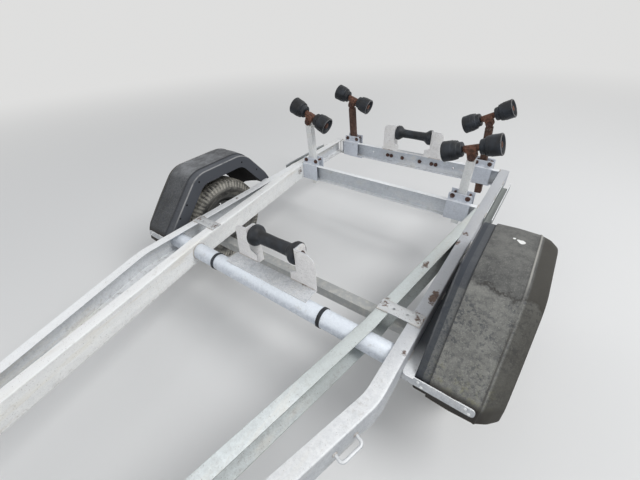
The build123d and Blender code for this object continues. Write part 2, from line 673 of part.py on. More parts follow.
below = GUARD_T + 1.0
core_crease_x = GUARD_CREASE_X - 1.0
guard = guard_slab(GUARD_STEP, GUARD_X0, GUARD_STEP_X)
guard = guard + guard_slab(0, GUARD_STEP_X, GUARD_CREASE_X)
guard = guard + guard_taper(0, GUARD_DROP, GUARD_CREASE_X, GUARD_X1)
core = guard_slab(GUARD_STEP + GUARD_T, GUARD_X0 + GUARD_T, GUARD_STEP_X + GUARD_T, below)
core = core + guard_slab(GUARD_T, GUARD_STEP_X + GUARD_T, core_crease_x, below)
core = core + guard_taper(GUARD_T, GUARD_DROP + GUARD_T, core_crease_x, GUARD_X1 - GUARD_T, below)
guard = guard - core
guard = guard - guard_slab(GUARD_STEP + GUARD_WALL, GUARD_X0 - below, GUARD_X0 + below, below)
guard = guard - guard_slab(GUARD_DROP + GUARD_LIP, GUARD_X1 - GUARD_T - below, GUARD_X1 + below, below)
save(guard, "mudguard_right")
save(mirrored(guard), "mudguard_left")

# Mudguard irons
iron_x0 = RAIL_HALF + SEAT
iron_x1 = GUARD_X0 - SEAT
foot_row = GUARD_ARCH[0]
knee_row = GUARD_ARCH[1]
lean_y = (knee_row["y"] - foot_row["y"]) / (knee_row["z"] - foot_row["z"])


def front_face_y(z):
    """Return the station of the guard's front face at a height."""
    return WHEEL_Y + foot_row["y"] + (z - RAIL_TOP - foot_row["z"]) * lean_y


strap_z0 = IRON_Z - STRAP_W
strap_y1 = front_face_y(IRON_Z) - SEAT
strap_y0 = front_face_y(strap_z0) - SEAT
strap = side_prism([(strap_y0, strap_z0), (strap_y1, IRON_Z), (strap_y1 - IRON_T, IRON_Z), (strap_y0 - IRON_T, strap_z0)],
                   iron_x0, STRAP_X1)
iron = strap + block(iron_x0, iron_x1, strap_y0 - IRON_T, IRON_Y1, IRON_Z - IRON_T, IRON_Z)
leg_y0 = strap_y1 + LUG_R
iron = iron + block(iron_x1 - IRON_T, iron_x1, leg_y0, IRON_Y1, IRON_Z - IRON_LEG, IRON_Z)
tab = prism([(iron_x0, TAB_Y0), (iron_x1, TAB_Y1 - TAB_END), (iron_x1, TAB_Y1), (iron_x0, TAB_Y1)],
            RAIL_TOP - TAB_DOWN - IRON_T, RAIL_TOP - TAB_DOWN)
save(group([iron, tab, mirrored(iron), mirrored(tab)]), "guard_irons")


# Posts, clamps, rockers and hull rollers
def sided(shape, side):
    """Return a shape built on the right, mirrored when it belongs on the left."""
    return mirrored(shape) if side < 0 else shape


def clamp_solids(lips_y, x):
    """Return the hat-shaped front plate with its bolts, and the rear plate, of a post clamp."""
    x0 = x - CLAMP_W / 2
    x1 = x + CLAMP_W / 2
    front = lips_y - SEAT - CLAMP_T
    ear = front + CLAMP_SET_BACK
    top = RAIL_TOP + SEAT
    low = RAIL_BOTTOM - SEAT
    hat = block(x0, x1, front, lips_y - SEAT, low - CLAMP_T, top + CLAMP_T)
    for z0, z1, ear_z0, ear_z1 in ((top, top + CLAMP_T, top, top + CLAMP_RISE), (low - CLAMP_T, low, low - CLAMP_RISE, low)):
        hat = hat + block(x0, x1, front, ear + CLAMP_T, z0, z1)
        hat = hat + block(x0, x1, ear, ear + CLAMP_T, ear_z0, ear_z1)
    reach = RAIL_HEIGHT / 2 + CLAMP_RISE - 1
    corners = hat.edges().filter_by(Axis.Y).filter_by(lambda e: abs(e.center().Z - RAIL_MID) > reach)
    hat = fillet(corners, CLAMP_CORNER_R)
    rear = lips_y + CROSS_DEPTH + POST + 3 * SEAT
    back = rear + CLAMP_T
    plate = block(x0, x1, rear, back, low - CLAMP_RISE, top + CLAMP_RISE)
    for dx in (-CLAMP_BOLT_X, CLAMP_BOLT_X):
        for z in (top + CLAMP_BOLT_Z, low - CLAMP_BOLT_Z):
            hat = hat + rod((x + dx, ear + 1, z), (x + dx, back + BOLT_TAIL, z), BOLT_R)
            hat = hat + rod((x + dx, ear - BOLT_HEAD, z), (x + dx, ear + 1, z), BOLT_HEAD_R)
            hat = hat + rod((x + dx, back + SEAT, z), (x + dx, back + SEAT + BOLT_HEAD + 2, z), BOLT_HEAD_R)
            plate = plate - rod((x + dx, rear - 1, z), (x + dx, back + 1, z), BOLT_R + SEAT)
    return [hat, plate]


def post_solid(row, x, y, lean, rise):
    """Return one post with its lug and pivot pin, leaning about its middle at the clamp."""
    pivot = RAIL_MID + rise
    low = RAIL_TOP + row["foot_z"]
    high = pivot - LUG_R - LUG_NECK
    inset = POST / 2 - POST_T
    post = block(x - POST / 2, x + POST / 2, y - POST / 2, y + POST / 2, low, high)
    post = post - block(x - inset, x + inset, y - inset, y + inset, low - 1, high - POST_T)
    post = post + block(x - LUG_R, x + LUG_R, y - LUG_T / 2, y + LUG_T / 2, high - 1, pivot)
    post = post + rod((x, y - LUG_T / 2, pivot), (x, y + LUG_T / 2, pivot), LUG_R)
    post = post + rod((x, y - PIN_HALF, pivot), (x, y + PIN_HALF, pivot), PIN_R)
    post = post + rod((x, y - PIN_HALF, pivot), (x, y - PIN_HALF + PIN_HEAD, pivot), PIN_HEAD_R)
    post = post + rod((x, y + PIN_HALF - PIN_HEAD, pivot), (x, y + PIN_HALF, pivot), PIN_HEAD_R)
    return post.rotate(Axis((x, y, RAIL_MID), (0, 1, 0)), lean)


def rocker_solid():
    """Return the tilting fork and its cross rod, with the pivot at the origin."""
    near = CHEEK_GAP
    far = CHEEK_GAP + CHEEK_T
    fork = block(-CROWN_HALF, CROWN_HALF, -far, far, ROD_UP - CROWN_DOWN, ROD_UP + CROWN_UP)
    for y0, y1 in ((near, far), (-far, -near)):
        fork = fork + rod((0, y0, 0), (0, y1, 0), CHEEK_R) + block(-CHEEK_R, CHEEK_R, y0, y1, 0, ROD_UP)
    fork = fork + rod((-BARREL_HALF, 0, ROD_UP), (BARREL_HALF, 0, ROD_UP), BARREL_R)
    fork = fork - rod((0, -far - 1, 0), (0, far + 1, 0), PIN_R + RUN)
    tip = ROLLER_FAR - ROD_SHY
    fork = fork + rod((-tip, 0, ROD_UP), (tip, 0, ROD_UP), ROD_R)
    seat = ROLLER_FAR - CUP_DEPTH + 1
    for s in (-1, 1):
        fork = fork + rod((s * seat, 0, ROD_UP), (s * (tip - 2), 0, ROD_UP), ROD_NUT_R)
    return fork


def roller_solid():
    """Return one hull roller on the outer half of the cross rod."""
    points = [
        (ROD_R + RUN, ROLLER_NEAR), (ROLLER_SMALL_R - 3, ROLLER_NEAR), (ROLLER_SMALL_R, ROLLER_NEAR + 3),
        (ROLLER_SMALL_R, ROLLER_STEP - 4), (ROLLER_NECK_R - 3, ROLLER_STEP), (ROLLER_NECK_R, ROLLER_STEP + 3),
        (ROLLER_BIG_R, ROLLER_FAR - 5), (ROLLER_BIG_R - 4, ROLLER_FAR), (CUP_R + 3, ROLLER_FAR),
        (CUP_R - 4, ROLLER_FAR - CUP_DEPTH), (ROD_R + RUN, ROLLER_FAR - CUP_DEPTH),
    ]
    return revolved(points, 0, 0, ROD_UP)


posts = []
clamps = []
rocker_shape = rocker_solid()
roller_shape = roller_solid()
pair_shapes = [roller_shape, mirrored(roller_shape)]
for row in POSTS:
    side = row["side"]
    x = RAIL_HALF - row["in"]
    y = row["lips_y"] + CROSS_DEPTH + SEAT + POST / 2
    aside = row["in"] - row["pivot_in"]
    above = row["pivot_z"] + RAIL_HEIGHT / 2
    lean = math.degrees(math.atan2(aside, above))
    posts = posts + [sided(post_solid(row, x, y, lean, math.hypot(aside, above)), side)]
    clamps = clamps + [sided(s, side) for s in clamp_solids(row["lips_y"], x)]
    place = Pos(x + aside, y, RAIL_TOP + row["pivot_z"]) * Rot(0, -row["tilt"], 0)
    save(sided(place * rocker_shape, side), "rocker_" + row["name"])
    save(group([sided(place * s, side) for s in pair_shapes]), "hull_rollers_" + row["name"])
save(group(posts), "roller_posts")
save(group(clamps), "post_clamps")


# Keel roller brackets: a base with two upright ears, and the roller on its pin
def keel_bracket(name, y, base_z, base_y0, base_y1, leg_foot):
    """Return the bracket whose ears stand at a station on a base height."""
    solid = block(-KEEL_BASE_HALF, KEEL_BASE_HALF, base_y0, base_y1, base_z, base_z + EAR_T)
    axis_y = y + KEEL_AXIS_BACK
    axis_z = base_z + KEEL_AXIS_Z
    leg_z = axis_z + KEEL_AXIS_RISE
    for row in EARS:
        if row["bracket"] != name:
            continue
        s = row["side"]
        xa = s * KEEL_HALF
        xb = s * (KEEL_HALF + EAR_T)
        face = [(xa, base_z)] + [(s * out, base_z + up) for out, up in row["outline"]]
        solid = solid + front_prism(face, y, y + EAR_T)
        leg = block(min(xa, xb), max(xa, xb), y, axis_y + KEEL_LEG_R, base_z - leg_foot, leg_z)
        leg = leg + rod((xa, axis_y, leg_z), (xb, axis_y, leg_z), KEEL_LEG_R)
        leg = leg + block(min(xa, xb), max(xa, xb), y, axis_y, axis_z, leg_z + KEEL_LEG_R)
        solid = solid + leg
        inner = [(xa, base_z), (xa - s * EAR_FOOT, base_z), (xa - s * EAR_FOOT, base_z + EAR_FOOT_Z - 16),
                 (xa, base_z + EAR_FOOT_Z)]
        solid = solid + front_prism(inner, y, y + EAR_T)
        nut_x = KEEL_HALF + EAR_T - 1
        solid = solid + rod((s * nut_x, axis_y, axis_z), (s * (nut_x + 1 + KEEL_NUT), axis_y, axis_z), KEEL_NUT_R)
    pin = KEEL_HALF + EAR_T + KEEL_NUT + RAIL_T
    return solid + rod((-pin, axis_y, axis_z), (pin, axis_y, axis_z), KEEL_PIN_R)


def keel_roller(y, z):
    """Return the waisted keel roller about its pin."""
    e = KEEL_HALF - KEEL_END
    half_points = [(KEEL_PIN_R + RUN, e), (KEEL_R - 5, e), (KEEL_R, e - 4), (KEEL_R, e - 26), (KEEL_R - 5, e - 32),
                   (KEEL_MID_R + 5, e - 42), (KEEL_MID_R, e - 54)]
    points = half_points + [(p[0], -p[1]) for p in reversed(half_points)]
    return revolved(points, 0, y, z)


front_base = TUBE_Z + TUBE_R + 0.2
save(keel_bracket("front", KEEL_FRONT_Y, front_base, TUBE_Y - 4, KEEL_FRONT_Y + 1, KEEL_SINK), "keel_bracket_front")
save(keel_roller(KEEL_FRONT_Y + KEEL_AXIS_BACK, front_base + KEEL_AXIS_Z), "keel_roller_front")
save(keel_bracket("rear", KEEL_REAR_Y, RAIL_TOP, KEEL_REAR_Y, C_REAR_Y + CROSS_DEPTH, 0.0), "keel_bracket_rear")
save(keel_roller(KEEL_REAR_Y + KEEL_AXIS_BACK, RAIL_TOP + KEEL_AXIS_Z), "keel_roller_rear")

# Light board sleeves outside the rails
sleeve_x0 = RAIL_HALF + SEAT
sleeve_x1 = sleeve_x0 + SLEEVE_W
sleeve_z1 = RAIL_TOP - SLEEVE_DOWN
sleeve_z0 = sleeve_z1 - SLEEVE_H
sleeve = block(sleeve_x0, sleeve_x1, SLEEVE_Y0, SLEEVE_Y1, sleeve_z0, sleeve_z1)
sleeve = sleeve - block(sleeve_x0 + SLEEVE_T, sleeve_x1 - SLEEVE_T, SLEEVE_Y0 - 1, SLEEVE_Y1 + 1,
                        sleeve_z0 + SLEEVE_T, sleeve_z1 + 1)
save(group([sleeve, mirrored(sleeve)]), "light_sleeves")

# Lashing loops of bent bar on the rails' webs
along = Vector(math.sin(BEND), math.cos(BEND), 0)
out = Vector(math.cos(BEND), -math.sin(BEND), 0)
foot = Vector(outer_face_x(LOOP_Y), LOOP_Y, RAIL_MID) + out * SEAT
side_run = LOOP_OUT - LOOP_BEND_R
corner = LOOP_BEND_R * (1 - math.sqrt(0.5))
path = Wire([
    Line(foot, foot + out * side_run).edge(),
    ThreePointArc(foot + out * side_run, foot + out * (LOOP_OUT - corner) + along * corner,
                  foot + out * LOOP_OUT + along * LOOP_BEND_R).edge(),
    Line(foot + out * LOOP_OUT + along * LOOP_BEND_R, foot + out * LOOP_OUT + along * (LOOP_LEN - LOOP_BEND_R)).edge(),
    ThreePointArc(foot + out * LOOP_OUT + along * (LOOP_LEN - LOOP_BEND_R),
                  foot + out * (LOOP_OUT - corner) + along * (LOOP_LEN - corner),
                  foot + out * side_run + along * LOOP_LEN).edge(),
    Line(foot + out * side_run + along * LOOP_LEN, foot + along * LOOP_LEN).edge(),
])
loop = sweep(Plane(origin=foot, z_dir=out) * Circle(LOOP_R), path=path)
save(group([loop, mirrored(loop)]), "lashing_loops")

# Nose beam between the rail tips, with head plates above and below
nose_half = NOSE_W / 2
nose_z1 = RAIL_MID + NOSE_H / 2
nose_z0 = RAIL_MID - NOSE_H / 2
nose = block(-nose_half, nose_half, NOSE_Y0, NOSE_Y1, nose_z0, nose_z1)
nose = nose - block(-nose_half + NOSE_T, nose_half - NOSE_T, NOSE_Y0 - 1, NOSE_Y1 + 1, nose_z0 + NOSE_T, nose_z1 - NOSE_T)
head_points = [(-outer_face_x(HEAD_Y0), HEAD_Y0), (outer_face_x(HEAD_Y0), HEAD_Y0), (outer_face_x(HEAD_Y1), HEAD_Y1),
               (-outer_face_x(HEAD_Y1), HEAD_Y1)]
head_top = prism(head_points, RAIL_TOP, RAIL_TOP + HEAD_T)
head_low = prism(head_points, RAIL_BOTTOM - HEAD_T, RAIL_BOTTOM)
save(nose, "nose_beam")
save(group([head_top, head_low]), "head_plates")

# Coupling head on top of the nose beam
neck_z = nose_z1 + SEAT
flange = block(-COUPLING_HALF, COUPLING_HALF, NOSE_Y0 + 5, NOSE_Y0 + 170, neck_z, neck_z + COUPLING_T)
cup_z = neck_z + CUP_RISE
cup = rod((0, COUPLING_Y, cup_z - CUP_LOW), (0, COUPLING_Y, cup_z + CUP_TOP), CUP_OUTER_R)
neck = side_prism([(COUPLING_Y, cup_z + CUP_TOP), (COUPLING_Y, cup_z - 20), (NOSE_Y0, neck_z), (NOSE_Y0 + 5, neck_z),
                   (NOSE_Y0 + 110, neck_z), (NOSE_Y0 + 110, neck_z + 30)], -NECK_HALF, NECK_HALF)
coupling = flange + neck + cup
ball_end = cup_z - CUP_LOW
coupling = coupling - rod((0, COUPLING_Y, ball_end - 1), (0, COUPLING_Y, ball_end + CUP_LEN), BALL_R)
save(coupling, "coupling_head")
handle_z = cup_z + CUP_TOP + 1
handle = side_prism([(COUPLING_Y - 14, handle_z), (COUPLING_Y + 20, handle_z), (COUPLING_Y + 60, handle_z + 17),
                     (NOSE_Y0 + 70, neck_z + 62), (NOSE_Y0 + 100, neck_z + 62), (NOSE_Y0 + 100, neck_z + 74),
                     (NOSE_Y0 + 64, neck_z + 76), (COUPLING_Y + 50, handle_z + 35), (COUPLING_Y - 4, handle_z + 21)],
                    -HANDLE_HALF, HANDLE_HALF)
save(handle, "coupling_handle")

# Winch post on a cross plate, with the bow stop
base_half = outer_face_x(WINCH_Y - WINCH_BASE_HALF) + RAIL_T
winch_post = block(-base_half, base_half, WINCH_Y - WINCH_BASE_HALF, WINCH_Y + WINCH_BASE_HALF, RAIL_TOP,
                   RAIL_TOP + WINCH_BASE_T)
wp = WINCH_POST / 2
wi = wp - WINCH_POST_T
foot_z = RAIL_TOP + WINCH_BASE_T - 1
post_tube = block(-wp, wp, WINCH_Y - wp, WINCH_Y + wp, foot_z, WINCH_TOP)
post_tube = post_tube - block(-wi, wi, WINCH_Y - wi, WINCH_Y + wi, foot_z + 5, WINCH_TOP - WINCH_POST_T)
winch_post = winch_post + post_tube
for s in (-1, 1):
    winch_post = winch_post + side_prism([(WINCH_Y + s * wp, foot_z), (WINCH_Y + s * (wp + GUSSET_FOOT), foot_z),
                                          (WINCH_Y + s * wp, RAIL_TOP + GUSSET_RISE)], -YOKE_T / 2, YOKE_T / 2)
winch_post = winch_post + block(-20, 20, WINCH_Y + wp - 1, YOKE_Y0 + YOKE_T, BOW_Z - 20, BOW_Z + 20)
winch_post = winch_post + block(-YOKE_HALF, YOKE_HALF, YOKE_Y0, YOKE_Y0 + YOKE_T, BOW_Z - YOKE_RISE, BOW_Z + YOKE_RISE)
for x0, x1 in ((-YOKE_HALF, -YOKE_HALF + YOKE_T), (YOKE_HALF - YOKE_T, YOKE_HALF)):
    winch_post = winch_post + block(x0, x1, YOKE_Y0, YOKE_Y1, BOW_Z - YOKE_RISE, BOW_Z + YOKE_RISE)
pin_half = YOKE_HALF + YOKE_T
winch_post = winch_post + rod((-pin_half, BOW_Y, BOW_Z), (pin_half, BOW_Y, BOW_Z), BOW_PIN_R)
save(winch_post, "winch_post")
bow_bore = BOW_PIN_R + RUN
bow = revolved([(bow_bore, BOW_HALF), (BOW_R - 4, BOW_HALF), (BOW_R, BOW_HALF - 6), (BOW_MID_R, 10), (BOW_MID_R, -10),
                (BOW_R, 6 - BOW_HALF), (BOW_R - 4, -BOW_HALF), (bow_bore, -BOW_HALF)], 0, BOW_Y, BOW_Z)
save(bow, "bow_roller")

# Winch: side plates with a drum shaft, drum and crank
frame_y0 = WINCH_Y + wp + SEAT
frame_z0 = WINCH_Z - FRAME_RISE
frame_z1 = WINCH_Z + FRAME_RISE
winch_frame = block(-FRAME_HALF, FRAME_HALF, frame_y0, frame_y0 + FRAME_T, frame_z0, frame_z1)
for x0, x1 in ((-FRAME_HALF, -FRAME_HALF + FRAME_T), (FRAME_HALF - FRAME_T, FRAME_HALF)):
    winch_frame = winch_frame + block(x0, x1, frame_y0, DRUM_Y + FRAME_REACH, frame_z0, frame_z1)
shaft_bore = rod((-FRAME_HALF - 1, DRUM_Y, WINCH_Z), (FRAME_HALF + 1, DRUM_Y, WINCH_Z), SHAFT_R + RUN)
save(winch_frame - shaft_bore, "winch_frame")
crank_x1 = CRANK_X0 + CRANK_T
crank_z = WINCH_Z + CRANK_UP
drum = rod((SHAFT_X0, DRUM_Y, WINCH_Z), (crank_x1, DRUM_Y, WINCH_Z), SHAFT_R)
drum = drum + rod((-DRUM_HALF, DRUM_Y, WINCH_Z), (DRUM_HALF, DRUM_Y, WINCH_Z), DRUM_R)
for x0, x1 in ((-DRUM_HALF, -DRUM_HALF + 4), (DRUM_HALF - 4, DRUM_HALF)):
    drum = drum + rod((x0, DRUM_Y, WINCH_Z), (x1, DRUM_Y, WINCH_Z), DRUM_FLANGE_R)
drum = drum + side_prism([(DRUM_Y - 12, WINCH_Z - 14), (DRUM_Y + 12, WINCH_Z - 14), (DRUM_Y + 9, crank_z + 12),
                          (DRUM_Y - 9, crank_z + 12)], CRANK_X0, crank_x1)
grip_x0 = crank_x1 + 4
grip_x1 = grip_x0 + GRIP_LEN
drum = drum + rod((crank_x1 - 2, DRUM_Y, crank_z), (grip_x1 + 4, DRUM_Y, crank_z), GRIP_ROD_R)
save(drum, "winch_drum")
grip = rod((grip_x0, DRUM_Y, crank_z), (grip_x1, DRUM_Y, crank_z), GRIP_R)
grip = grip - rod((grip_x0 - 1, DRUM_Y, crank_z), (grip_x1 + 1, DRUM_Y, crank_z), GRIP_ROD_R + GRIP_FIT)
save(grip, "crank_grip")

# Jockey wheel: clamp, outer tube, sliding leg, fork and wheel
jx = -(outer_face_x(JOCKEY_Y) + JOCKEY_OUT)
jy = JOCKEY_Y
clamp_z0 = RAIL_MID - JOCKEY_CLAMP_HALF
clamp_z1 = RAIL_MID + JOCKEY_CLAMP_HALF
clamp = rod((jx, jy, clamp_z0), (jx, jy, clamp_z1), JOCKEY_TUBE_R + JOCKEY_CLAMP_T)
clamp_y0 = jy - JOCKEY_CLAMP_W
clamp_y1 = jy + JOCKEY_CLAMP_W
clamp = clamp + prism([(jx, clamp_y0), (-outer_face_x(clamp_y0) - 2 * SEAT, clamp_y0),
                       (-outer_face_x(clamp_y1) - 2 * SEAT, clamp_y1), (jx, clamp_y1)], clamp_z0, clamp_z1)
clamp = clamp - rod((jx, jy, clamp_z0 - 1), (jx, jy, clamp_z1 + 1), JOCKEY_TUBE_R + 0.2)
clamp = clamp + block(jx - 50, jx - JOCKEY_TUBE_R - 4, jy - 8, jy + 8, RAIL_MID - 14, RAIL_MID + 14)
save(clamp, "jockey_clamp")
tube_top = JOCKEY_TUBE_TOP
outer_tube = rod((jx, jy, JOCKEY_TUBE_Z), (jx, jy, tube_top), JOCKEY_TUBE_R)
outer_tube = outer_tube - rod((jx, jy, JOCKEY_TUBE_Z - 1), (jx, jy, tube_top - 5), JOCKEY_INNER_R + RUN)
outer_tube = outer_tube + rod((jx, jy, tube_top - 1), (jx, jy, tube_top + JOCKEY_CRANK_UP - 1), 10)
save(outer_tube, "jockey_tube")
crank_z0 = tube_top + JOCKEY_CRANK_UP
crank = block(jx - 8, jx + JOCKEY_CRANK_R + 8, jy - 8, jy + 8, crank_z0, crank_z0 + 6)
crank = crank + rod((jx, jy, crank_z0 - 1 + SEAT), (jx, jy, crank_z0 + 13), 13)
crank = crank + rod((jx + JOCKEY_CRANK_R, jy, crank_z0 + 3), (jx + JOCKEY_CRANK_R, jy, crank_z0 + 73), 9)
save(crank, "jockey_crank")
leg_z = JOCKEY_LEG_Z
leg = rod((jx, jy, leg_z), (jx, jy, leg_z + JOCKEY_LEG_LEN), JOCKEY_INNER_R)
leg = leg - rod((jx, jy, leg_z - 1), (jx, jy, leg_z + FORK_PIN + 10), FORK_PIN_R + RUN)
save(leg, "jockey_leg")
wheel_y = jy + JOCKEY_TRAIL
wheel_z = JOCKEY_WHEEL_R
fork_top = leg_z - FORK_GAP
fork_low = fork_top - FORK_CROWN
fork = rod((jx, jy, fork_low), (jx, jy, fork_top), FORK_CROWN_R)
fork = fork + rod((jx, jy, fork_top - 1), (jx, jy, leg_z + FORK_PIN), FORK_PIN_R)
fork = fork + block(jx - FORK_HALF, jx + FORK_HALF, jy - 22, jy + 22, fork_low, fork_top)
for x0 in (jx - FORK_HALF, jx + FORK_HALF - FORK_T):
    fork = fork + side_prism([(jy - 22, fork_low), (jy + 22, fork_low), (wheel_y + 16, wheel_z - 14),
                              (wheel_y - 16, wheel_z - 14)], x0, x0 + FORK_T)
fork = fork + rod((jx - JOCKEY_AXLE_HALF, wheel_y, wheel_z), (jx + JOCKEY_AXLE_HALF, wheel_y, wheel_z), JOCKEY_AXLE_R)
save(fork, "jockey_fork")
boss = JOCKEY_BOSS_HALF
bed = JOCKEY_BED_HALF
axle_bore = JOCKEY_AXLE_R + RUN
jockey_rim = revolved([(axle_bore, -boss), (axle_bore, boss), (20, boss), (24, 20), (66, 18), (JOCKEY_BED_R, bed),
                       (JOCKEY_BED_R, -bed), (66, -18), (24, -20), (20, -boss)], jx, wheel_y, wheel_z)
tread = JOCKEY_TREAD_HALF
jockey_tyre = revolved([(JOCKEY_BED_R, -bed), (JOCKEY_BED_R, bed), (76, tread), (JOCKEY_WHEEL_R - 8, tread),
                        (JOCKEY_WHEEL_R - 1, tread - 7), (JOCKEY_WHEEL_R, tread - 11), (JOCKEY_WHEEL_R, 11 - tread),
                        (JOCKEY_WHEEL_R - 1, 7 - tread), (JOCKEY_WHEEL_R - 8, -tread), (76, -tread)], jx, wheel_y, wheel_z)
save(jockey_rim, "jockey_rim")
save(jockey_tyre, "jockey_tyre")
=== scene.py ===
"""The looks of the weathered boat trailer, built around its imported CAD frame.

Metres, +X to the trailer's right, +Y to its rear, +Z up, origin on the ground.
"""

import json
import logging
import math
from dataclasses import dataclass
from enum import Enum
from typing import Any, Iterable, Sequence

import bmesh
import bpy
from mathutils import Matrix, Vector


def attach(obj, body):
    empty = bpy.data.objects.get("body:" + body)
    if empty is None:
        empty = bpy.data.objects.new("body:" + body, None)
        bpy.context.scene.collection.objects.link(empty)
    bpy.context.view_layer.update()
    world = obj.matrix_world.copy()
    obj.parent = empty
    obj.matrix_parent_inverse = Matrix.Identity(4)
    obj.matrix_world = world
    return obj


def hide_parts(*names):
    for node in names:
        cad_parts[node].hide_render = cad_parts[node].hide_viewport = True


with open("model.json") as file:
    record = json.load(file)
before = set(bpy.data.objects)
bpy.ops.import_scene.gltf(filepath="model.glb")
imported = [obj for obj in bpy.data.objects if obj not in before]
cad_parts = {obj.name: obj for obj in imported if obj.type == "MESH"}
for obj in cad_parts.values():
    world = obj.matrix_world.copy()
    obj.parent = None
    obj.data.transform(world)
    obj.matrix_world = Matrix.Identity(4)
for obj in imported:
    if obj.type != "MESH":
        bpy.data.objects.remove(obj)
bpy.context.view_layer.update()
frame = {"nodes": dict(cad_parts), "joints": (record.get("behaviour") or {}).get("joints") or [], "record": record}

log = logging.getLogger("trailer")

Point = tuple[float, float, float]
Flat = tuple[float, float]
Colour = tuple[float, float, float]
Quad = tuple[int, ...]

RAIL_TOP = 0.437
RAIL_HALF = 0.635
WHEEL_Y = 0.859
WHEEL_Z = 0.262
WHEEL_X = 0.774
SHARP = math.radians(38.0)
ACROSS = Vector((1.0, 0.0, 0.0))
SIGNS = (-1, 1)
CORNERS = ("front_right", "front_left", "rear_right", "rear_left")
# The Y of both cross members' front lips, and each post clamp's X with the index of its member.
CROSS_LIPS = (1.475, 1.977)
CLAMPS = ((0.486, 0), (-0.516, 0), (0.478, 1), (-0.490, 1))
# The bolts through the rearmost web: the X of each, and their height.
WEB_BOLTS_X = (-0.183, -0.153, -0.066, 0.066, 0.153, 0.183)
WEB_BOLTS_Z = 0.385


class Side(Enum):
    """A side of the trailer, with the sign of its X."""

    RIGHT = 1
    LEFT = -1

    @property
    def word(self) -> str:
        """Return the side's name as the CAD nodes spell it."""
        return self.name.lower()


class Slot(Enum):
    """The record's material slots."""

    ZINC = "galvanised_steel"
    STEEL = "weathered_steel"
    IRON = "rusty_iron"
    RUBBER = "black_rubber"
    TYRE = "tyre_rubber"
    PAINT = "grey_paint"
    PLASTIC = "black_plastic"
    COUPLING = "coupling_zinc"
    PLATED = "zinc_plate"


class Num:
    """A number socket of a shader tree, with arithmetic that adds Math nodes."""

    def __init__(self, sheet: "Sheet", socket: Any) -> None:
        """Wrap a socket.

        Args:
            sheet: The material sheet that holds the socket.
            socket: The output socket, or a plain number.
        """
        self.sheet = sheet
        self.socket = socket

    def _math(self, kind: str, *values: Any) -> "Num":
        """Return the result of a Math node of a kind on this and other values."""
        node = self.sheet.node("ShaderNodeMath", {"operation": kind}, dict(enumerate(values)))
        return Num(self.sheet, node.outputs[0])

    def __add__(self, other: Any) -> "Num":
        """Return the sum."""
        return self._math("ADD", self, other)

    def __radd__(self, other: Any) -> "Num":
        """Return the sum."""
        return self._math("ADD", other, self)

    def __sub__(self, other: Any) -> "Num":
        """Return the difference."""
        return self._math("SUBTRACT", self, other)

    def __rsub__(self, other: Any) -> "Num":
        """Return the difference the other way round."""
        return self._math("SUBTRACT", other, self)

    def __mul__(self, other: Any) -> "Num":
        """Return the product."""
        return self._math("MULTIPLY", self, other)

    def __rmul__(self, other: Any) -> "Num":
        """Return the product."""
        return self._math("MULTIPLY", other, self)

    def __abs__(self) -> "Num":
        """Return the value without its sign."""
        return self._math("ABSOLUTE", self)

    def larger(self, other: Any) -> "Num":
        """Return the larger of two values."""
        return self._math("MAXIMUM", self, other)

    def root(self) -> "Num":
        """Return the square root."""
        return self._math("SQRT", self)

    def sine(self) -> "Num":
        """Return the sine."""
        return self._math("SINE", self)

    def turn_from(self, other: Any) -> "Num":
        """Return the angle whose sine and cosine go as this value and the other."""
        return self._math("ARCTAN2", self, other)

    def between(self, low: float, high: float) -> "Num":
        """Return 0 below low and 1 above high, with a smooth rise between.

        Args:
            low: Where the rise starts.
            high: Where the rise ends. It may be below low for a fall.

        Returns:
            The smoothed mask.
        """
        turned = high < low
        first, last = (high, low) if turned else (low, high)
        ends = (1.0, 0.0) if turned else (0.0, 1.0)
        values = {"Value": self, "From Min": first, "From Max": last, "To Min": ends[0], "To Max": ends[1]}
        node = self.sheet.node("ShaderNodeMapRange", {"interpolation_type": "SMOOTHSTEP"}, values)
        return Num(self.sheet, node.outputs["Result"])


class Tint:
    """A colour socket of a shader tree."""

    def __init__(self, sheet: "Sheet", socket: Any) -> None:
        """Wrap a colour socket or a plain colour.

        Args:
            sheet: The material sheet that holds the socket.
            socket: The output socket, or three numbers.
        """
        self.sheet = sheet
        self.socket = socket

    def blend(self, other: Any, factor: Any, mode: str = "MIX") -> "Tint":
        """Return this colour mixed with another.

        Args:
            other: The second colour, as a Tint or three numbers.
            factor: How much of it, as a Num or a number.
            mode: The Mix node's blend type.

        Returns:
            The mixed colour.
        """
        settings = {"data_type": "RGBA", "blend_type": mode, "clamp_factor": True}
        node = self.sheet.node("ShaderNodeMix", settings, {0: factor, 6: self, 7: other})
        return Tint(self.sheet, node.outputs[2])


class NodeHost:
    """A node tree, with one method that adds any node."""

    tree: Any

    def node(self, kind: str, settings: dict[str, Any], values: dict[Any, Any]) -> bpy.types.Node:
        """Add a node, set its settings, then its sockets.

        Args:
            kind: The node's type.
            settings: Attributes of the node, set first.
            values: Socket values or links, by name or index.

        Returns:
            The new node.
        """
        node = self.tree.nodes.new(kind)
        for key, value in settings.items():
            setattr(node, key, value)
        for key, value in values.items():
            self._feed(node.inputs[key], value)
        return node

    def _feed(self, socket: Any, value: Any) -> None:
        """Link a wrapped value to a socket, or set a plain one.

        Args:
            socket: The input socket.
            value: A Num, a Tint, an output socket or a plain value.
        """
        if isinstance(value, (Num, Tint)):
            value = value.socket
        if isinstance(value, bpy.types.NodeSocket):
            self.tree.links.new(value, socket)
        elif isinstance(value, tuple) and socket.type == "RGBA" and len(value) == 3:
            socket.default_value = (*value, 1.0)
        else:
            socket.default_value = value


